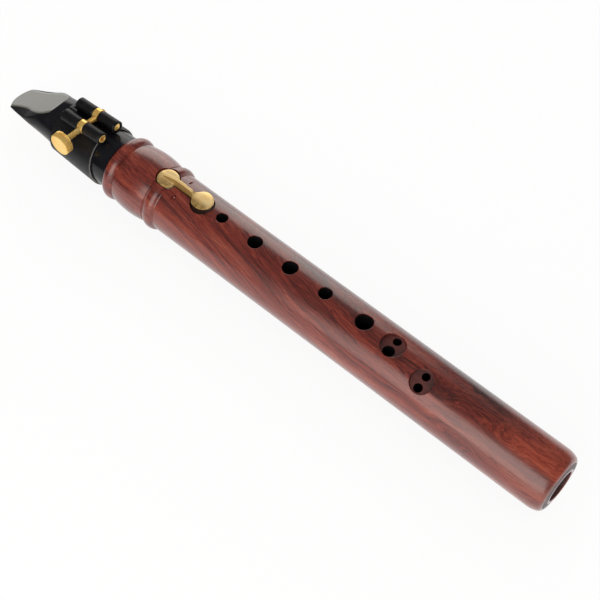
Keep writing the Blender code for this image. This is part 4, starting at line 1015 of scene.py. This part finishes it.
def make_pins(brass):
    for name, y, hollow in (("near", -SLEEVE_Y, True), ("far", SLEEVE_Y, False)):
        centre = (SCREW_X, y, SLEEVE_Z)
        profile = pin_half(SLEEVE_REAR_X - SCREW_X, hollow)
        front = pin_half(SCREW_X - SLEEVE_FRONT_X, hollow)
        profile += [(-x, radius) for x, radius in reversed(front)]
        outside = turned(profile, 64, axis=SLEEVE_AXIS, centre=centre)
        pin = make_object(f"{name}_pin_with_collar", outside, brass)
        carve(pin, [rod(-5, 5, SCREW_RADIUS + 0.15, 48, ACROSS, centre)])
        replaced = [f"{name}_ligature_pin"]
        finish_piece(pin, "ligature", replaced, crease=35, weighted=True)


def make_screw(brass):
    """Thumb screw: knurled drum head, neck, plain shank and a cut thread."""
    back, front = SCREW_HEAD_BACK_Y, SCREW_HEAD_FRONT_Y
    rings = []
    levels = [(back, 0.45), (back - 0.15, 0.15), (back - 0.45, 0.0)]
    levels += [(front + 0.45, 0.0), (front + 0.15, 0.12), (front, 0.42)]
    for y, inset in levels:
        ring = []
        for index in range(4 * KNURL_COUNT):
            angle = TURN * index / (4 * KNURL_COUNT)
            groove = (0.0, 0.10, 0.18, 0.10)[index % 4]
            radius = SCREW_HEAD_RADIUS - inset - groove
            ring.append((SCREW_X + radius * math.cos(angle), y, SLEEVE_Z + radius * math.sin(angle)))
        rings.append(ring)
    far = SLEEVE_Y + SLEEVE_RADIUS + 0.5
    profile = [(back - 1, 0), (back - 1, 2.3), (back + 0.9, 2.3), (back + 1.3, 1.9)]
    profile += [(back + 1.6, SCREW_RADIUS), (-3.0, SCREW_RADIUS)]
    thread_start = -2.8
    for index in range(int((far - 0.3 - thread_start) / THREAD_PITCH)):
        y = thread_start + THREAD_PITCH * index
        profile += [(y, SCREW_RADIUS), (y + THREAD_PITCH / 2, SCREW_RADIUS - THREAD_DEPTH)]
    profile += [(far - 0.25, SCREW_RADIUS), (far, SCREW_RADIUS - 0.25), (far, 0)]
    shank = turned(profile, 48, axis=ACROSS, centre=(SCREW_X, 0, SLEEVE_Z))
    screw = make_object("thumb_screw", join(loft(rings), shank), brass)
    finish_piece(screw, "ligature_screw", ["ligature_screw"], crease=28)


# Key


def make_key(brass):
    """Pad cup with the arm's ridge running over it and flowing into a pear-shaped touch."""
    edge = ((0.8, 0), (0.62, 0.05), (0.36, 0.26), (0.16, 0.6), (0.04, 1.05), (0, 1.5))
    profile = [(CUP_BASE_Z, 0), (CUP_BASE_Z, CUP_RADIUS - 0.1), (CUP_BASE_Z + 0.1, CUP_RADIUS)]
    profile += [(CUP_TOP_Z - drop, CUP_RADIUS - inset) for drop, inset in edge]
    profile += [(CUP_TOP_Z + 0.08, CUP_RADIUS * 0.4), (CUP_TOP_Z + 0.1, 0)]
    cup = turned(profile, 96, axis=UPRIGHT, centre=(CUP_X, 0, 0))
    stations = spread(CUP_X - 0.86 * CUP_RADIUS, TOUCH_X + TOUCH_RADIUS, 120)
    rings = [key_section(x) for x in stations]
    key = make_object("brass_key", loft(rings), brass)
    carve(key, [cup], "UNION")
    carve(key, [rod(-4, 4, PIVOT_HOLE_RADIUS, 32, ACROSS, PIVOT)])
    finish_piece(key, "key", ["key"], weighted=True)


def key_section(x):
    """Upright section of the key at x: a thin blade along the arm, a cushioned disc at the touch."""
    from_touch = (x - TOUCH_X) / TOUCH_RADIUS
    touch = smooth((x - (TOUCH_X - TOUCH_RADIUS - 1.2)) / 3.4)
    over_cup = 1 - smooth((x - (CUP_X + 2.6)) / 4.0)
    width = TOUCH_HALF_WIDTH * math.sqrt(max(0.0, 1 - from_touch**2))
    width = max(width, BLADE_HALF_WIDTH if from_touch < 0 else 0.05)
    wide = mix(mix(BLADE_HALF_WIDTH + 0.3, 1.5, over_cup), width, touch)
    thin = mix(BLADE_HALF_WIDTH, width, touch)
    dome = TOUCH_TOP_Z - 0.45 * from_touch**2
    top = mix(read_curve(RIDGE, x - PIVOT_X), dome, touch)
    low = mix(mix(PIVOT_Z + 1.0, CUP_TOP_Z - 0.1, over_cup), dome - TOUCH_RIM_DROP, touch)
    shoulder = mix(max(top - 0.2, mix(low, top, 0.6)), dome - TOUCH_RIM_DROP + 0.15, touch)
    hub = smooth((x - (CUP_X + 3.5)) / 3.0) * (1 - smooth((x - (PIVOT_X + 1.3)) / 1.2))
    base = mix(CUP_BASE_Z + 0.4, PIVOT_Z + 0.45, smooth((x - CUP_X) / 6.0))
    base = mix(mix(base, PIVOT_Z - 1.4, hub), low - 0.15, touch)
    flank = [(mix(wide, thin, step / 5), mix(low, shoulder, step / 5)) for step in range(5)]
    roof = []
    for across in spread(1, -1, 24):
        cushion = mix(1 - abs(across) ** 6, 1 - abs(across) ** 3.5, touch)
        roof.append((thin * across, mix(shoulder, top, cushion)))
    outline = [(-wide, base), (wide, base)] + flank + roof + [(-y, z) for y, z in reversed(flank)]
    return [(x, y, z) for y, z in outline]


def make_spring(steel):
    """Leaf spring, riveted to the key at one end, with its free end on the recess's floor."""
    rivet_x, high_z = PIVOT_X + RIVET_FROM_PIVOT, SPRING_LOW_Z[0]
    rings = []
    for from_pivot in spread(*SPRING_FROM_PIVOT, 28):
        share = (from_pivot - SPRING_LEAVES_ARM) / (SPRING_FROM_PIVOT[1] - SPRING_LEAVES_ARM)
        low = mix(*SPRING_LOW_Z, smooth(share))
        half, high = SPRING_HALF_WIDTH, low + SPRING_THICKNESS
        corners = ((-half, low), (half, low), (half, high), (-half, high))
        rings.append([(PIVOT_X + from_pivot, y, z) for y, z in corners])
    spring = make_object("leaf_spring", loft(rings), steel)
    carve(spring, [rod(12, 15, RIVET_HOLE_RADIUS, 32, centre=(rivet_x, 0, 0))])
    bend = ("body", (rivet_x, 0, high_z), (PIVOT_X + SPRING_STAYS, 0, high_z))
    finish_piece(spring, "key", ["key_spring"], bend=bend)


# Set: floor, surroundings, lamps and camera


def make_floor():
    """White floor. The part beside the beak is dark where it is mirrored."""
    bm = bmesh.new()
    bmesh.ops.create_grid(bm, x_segments=1, y_segments=1, size=3)
    floor = make_object("floor", bm)
    paint = Finish("white_floor")
    camera = paint.node("LightPath", output="Is Camera Ray")
    glossy = paint.node("LightPath", output="Is Glossy Ray")
    glow = paint.node("Emission", {}, {"Color": rgb(1, 1, 1), "Strength": 1.0})
    x, y, _ = paint.point()
    shaded = paint.ramp(x, -270.0, -350.0) * paint.ramp(y, 0.0, -25.0) * glossy
    seen = camera.most(glossy - shaded)
    colour = paint.blend(shaded, rgb(0.93, 0.93, 0.93), rgb(0.05, 0.05, 0.06))
    matt = Value(paint, paint.set(Base_Color=colour, Roughness=0.9).shader.outputs[0])
    surface = paint.node("MixShader", {}, {0: seen * 0.9, 1: matt, 2: glow})
    paint.plug(paint.tree.nodes["Material Output"].inputs["Surface"], surface)
    floor.data.materials.append(paint.material)


def make_surroundings():
    """White to the camera, a dim room in the reflections, and an even fill for the rest."""
    world = bpy.data.worlds.new("studio")
    bpy.context.scene.world = world
    world.use_nodes = True
    nodes, links = world.node_tree.nodes, world.node_tree.links
    path, level, seen = (nodes.new("ShaderNode" + kind) for kind in ("LightPath", "Mix", "Math"))
    fill, mirrored = 0.70, 0.14
    level.inputs["A"].default_value = fill
    level.inputs["B"].default_value = mirrored
    seen.operation = "MAXIMUM"
    background = nodes["Background"].inputs
    background["Color"].default_value = rgb(1, 1, 1)
    links.new(path.outputs["Is Glossy Ray"], level.inputs["Factor"])
    links.new(level.outputs["Result"], seen.inputs[0])
    links.new(path.outputs["Is Camera Ray"], seen.inputs[1])
    links.new(seen.outputs[0], background["Strength"])


def make_lamp(name, low, high, facing, strength, tint):
    """A soft box: an upright rectangle between two corners in millimetres.

    Its strength says how many times as bright as white it is.
    """
    low, high = Vector(low) / 1000, Vector(high) / 1000
    lamp = bpy.data.lights.new(name, "AREA")
    lamp.shape = "RECTANGLE"
    lamp.size, lamp.size_y = (high - low).x, (high - low).z
    lamp.energy = strength * math.pi * lamp.size * lamp.size_y
    lamp.color = tint
    thing = bpy.data.objects.new(name, lamp)
    thing.location = FOOT + (low + high) / 2
    thing.rotation_euler = Vector((0, facing, 0)).to_track_quat("-Z", "Z").to_euler()
    thing.visible_camera = False
    bpy.context.scene.collection.objects.link(thing)


def make_camera():
    """The camera that took the photograph, found from the body's outline, holes and rims."""
    data = bpy.data.cameras.new("photograph")
    data.sensor_width = data.sensor_height = SENSOR_SIZE
    data.lens = FOCAL_PIXELS * SENSOR_SIZE / PICTURE_PIXELS
    data.clip_start = 0.01
    camera = bpy.data.objects.new("photograph", data)
    right = Vector((0.75451, 0.65481, 0.04400))
    down = Vector((0.55660, -0.60295, -0.57153))
    forward = Vector((-0.34771, 0.45572, -0.81940))
    turn = Matrix((right, -down, -forward)).transposed().to_4x4()
    camera.matrix_world = Matrix.Translation(FOOT + Vector((0.07680, -0.28294, 0.50501))) @ turn
    bpy.context.scene.collection.objects.link(camera)
    bpy.context.scene.camera = camera


def dress(node, material):
    """Gives a CAD node that stays its finished material."""
    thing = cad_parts[node]
    thing.data.materials.clear()
    thing.data.materials.append(material)


def build():
    leather = make_leather("black_leather", (0.003, 0.003, 0.004), (0.008, 0.008, 0.010), 0.32)
    leather_edge = make_leather("leather_cut_edge", (0.16, 0.15, 0.14), (0.30, 0.29, 0.28), 0.6)
    bright_brass = make_brass(
        "polished_brass", (0.97, 0.56, 0.12), (1.00, 0.73, 0.26), 0.24, (0.4, 9.0, 0.4), 0.65,
    )
    satin_brass = make_brass(
        "satin_brass", (0.98, 0.65, 0.25), (1.00, 0.77, 0.38), 0.44, (1.2, 7.0, 2.0), 0.6, blade_painted_shade,
    )
    # Painted shade: the pivot pin, which sits in the body's holes, is made dark brass.
    shaded_pin_brass = make_brass(
        "shaded_pin_brass", (0.16, 0.10, 0.04), (0.26, 0.17, 0.07), 0.5, (0.4, 9.0, 0.4), 0.6,
    )
    pad = make_leather("pad_leather", (0.62, 0.55, 0.43), (0.80, 0.74, 0.62), 0.7)

    make_body(make_rosewood(), make_shaded_bore())
    make_mouthpiece(make_ebonite())
    make_reed(make_cane())
    make_band(leather, leather_edge)
    make_sleeves(leather)
    make_pins(bright_brass)
    make_screw(bright_brass)
    make_key(satin_brass)
    make_spring(make_steel())
    dress("tenon_cork", make_cork())
    dress("key_pad", pad)
    dress("key_pin", shaded_pin_brass)
    dress("spring_rivet", satin_brass)

    make_floor()
    make_surroundings()
    make_lamp("near_soft_box", (-340, -550, 30), (350, -550, 650), 1, 2.3, (1.0, 0.97, 0.93))
    make_lamp("far_soft_box", (-1200, 600, 0), (-300, 600, 600), -1, 1.9, (1.0, 0.97, 0.92))
    make_camera()
    bpy.context.scene.view_settings.view_transform = "Standard"


build()
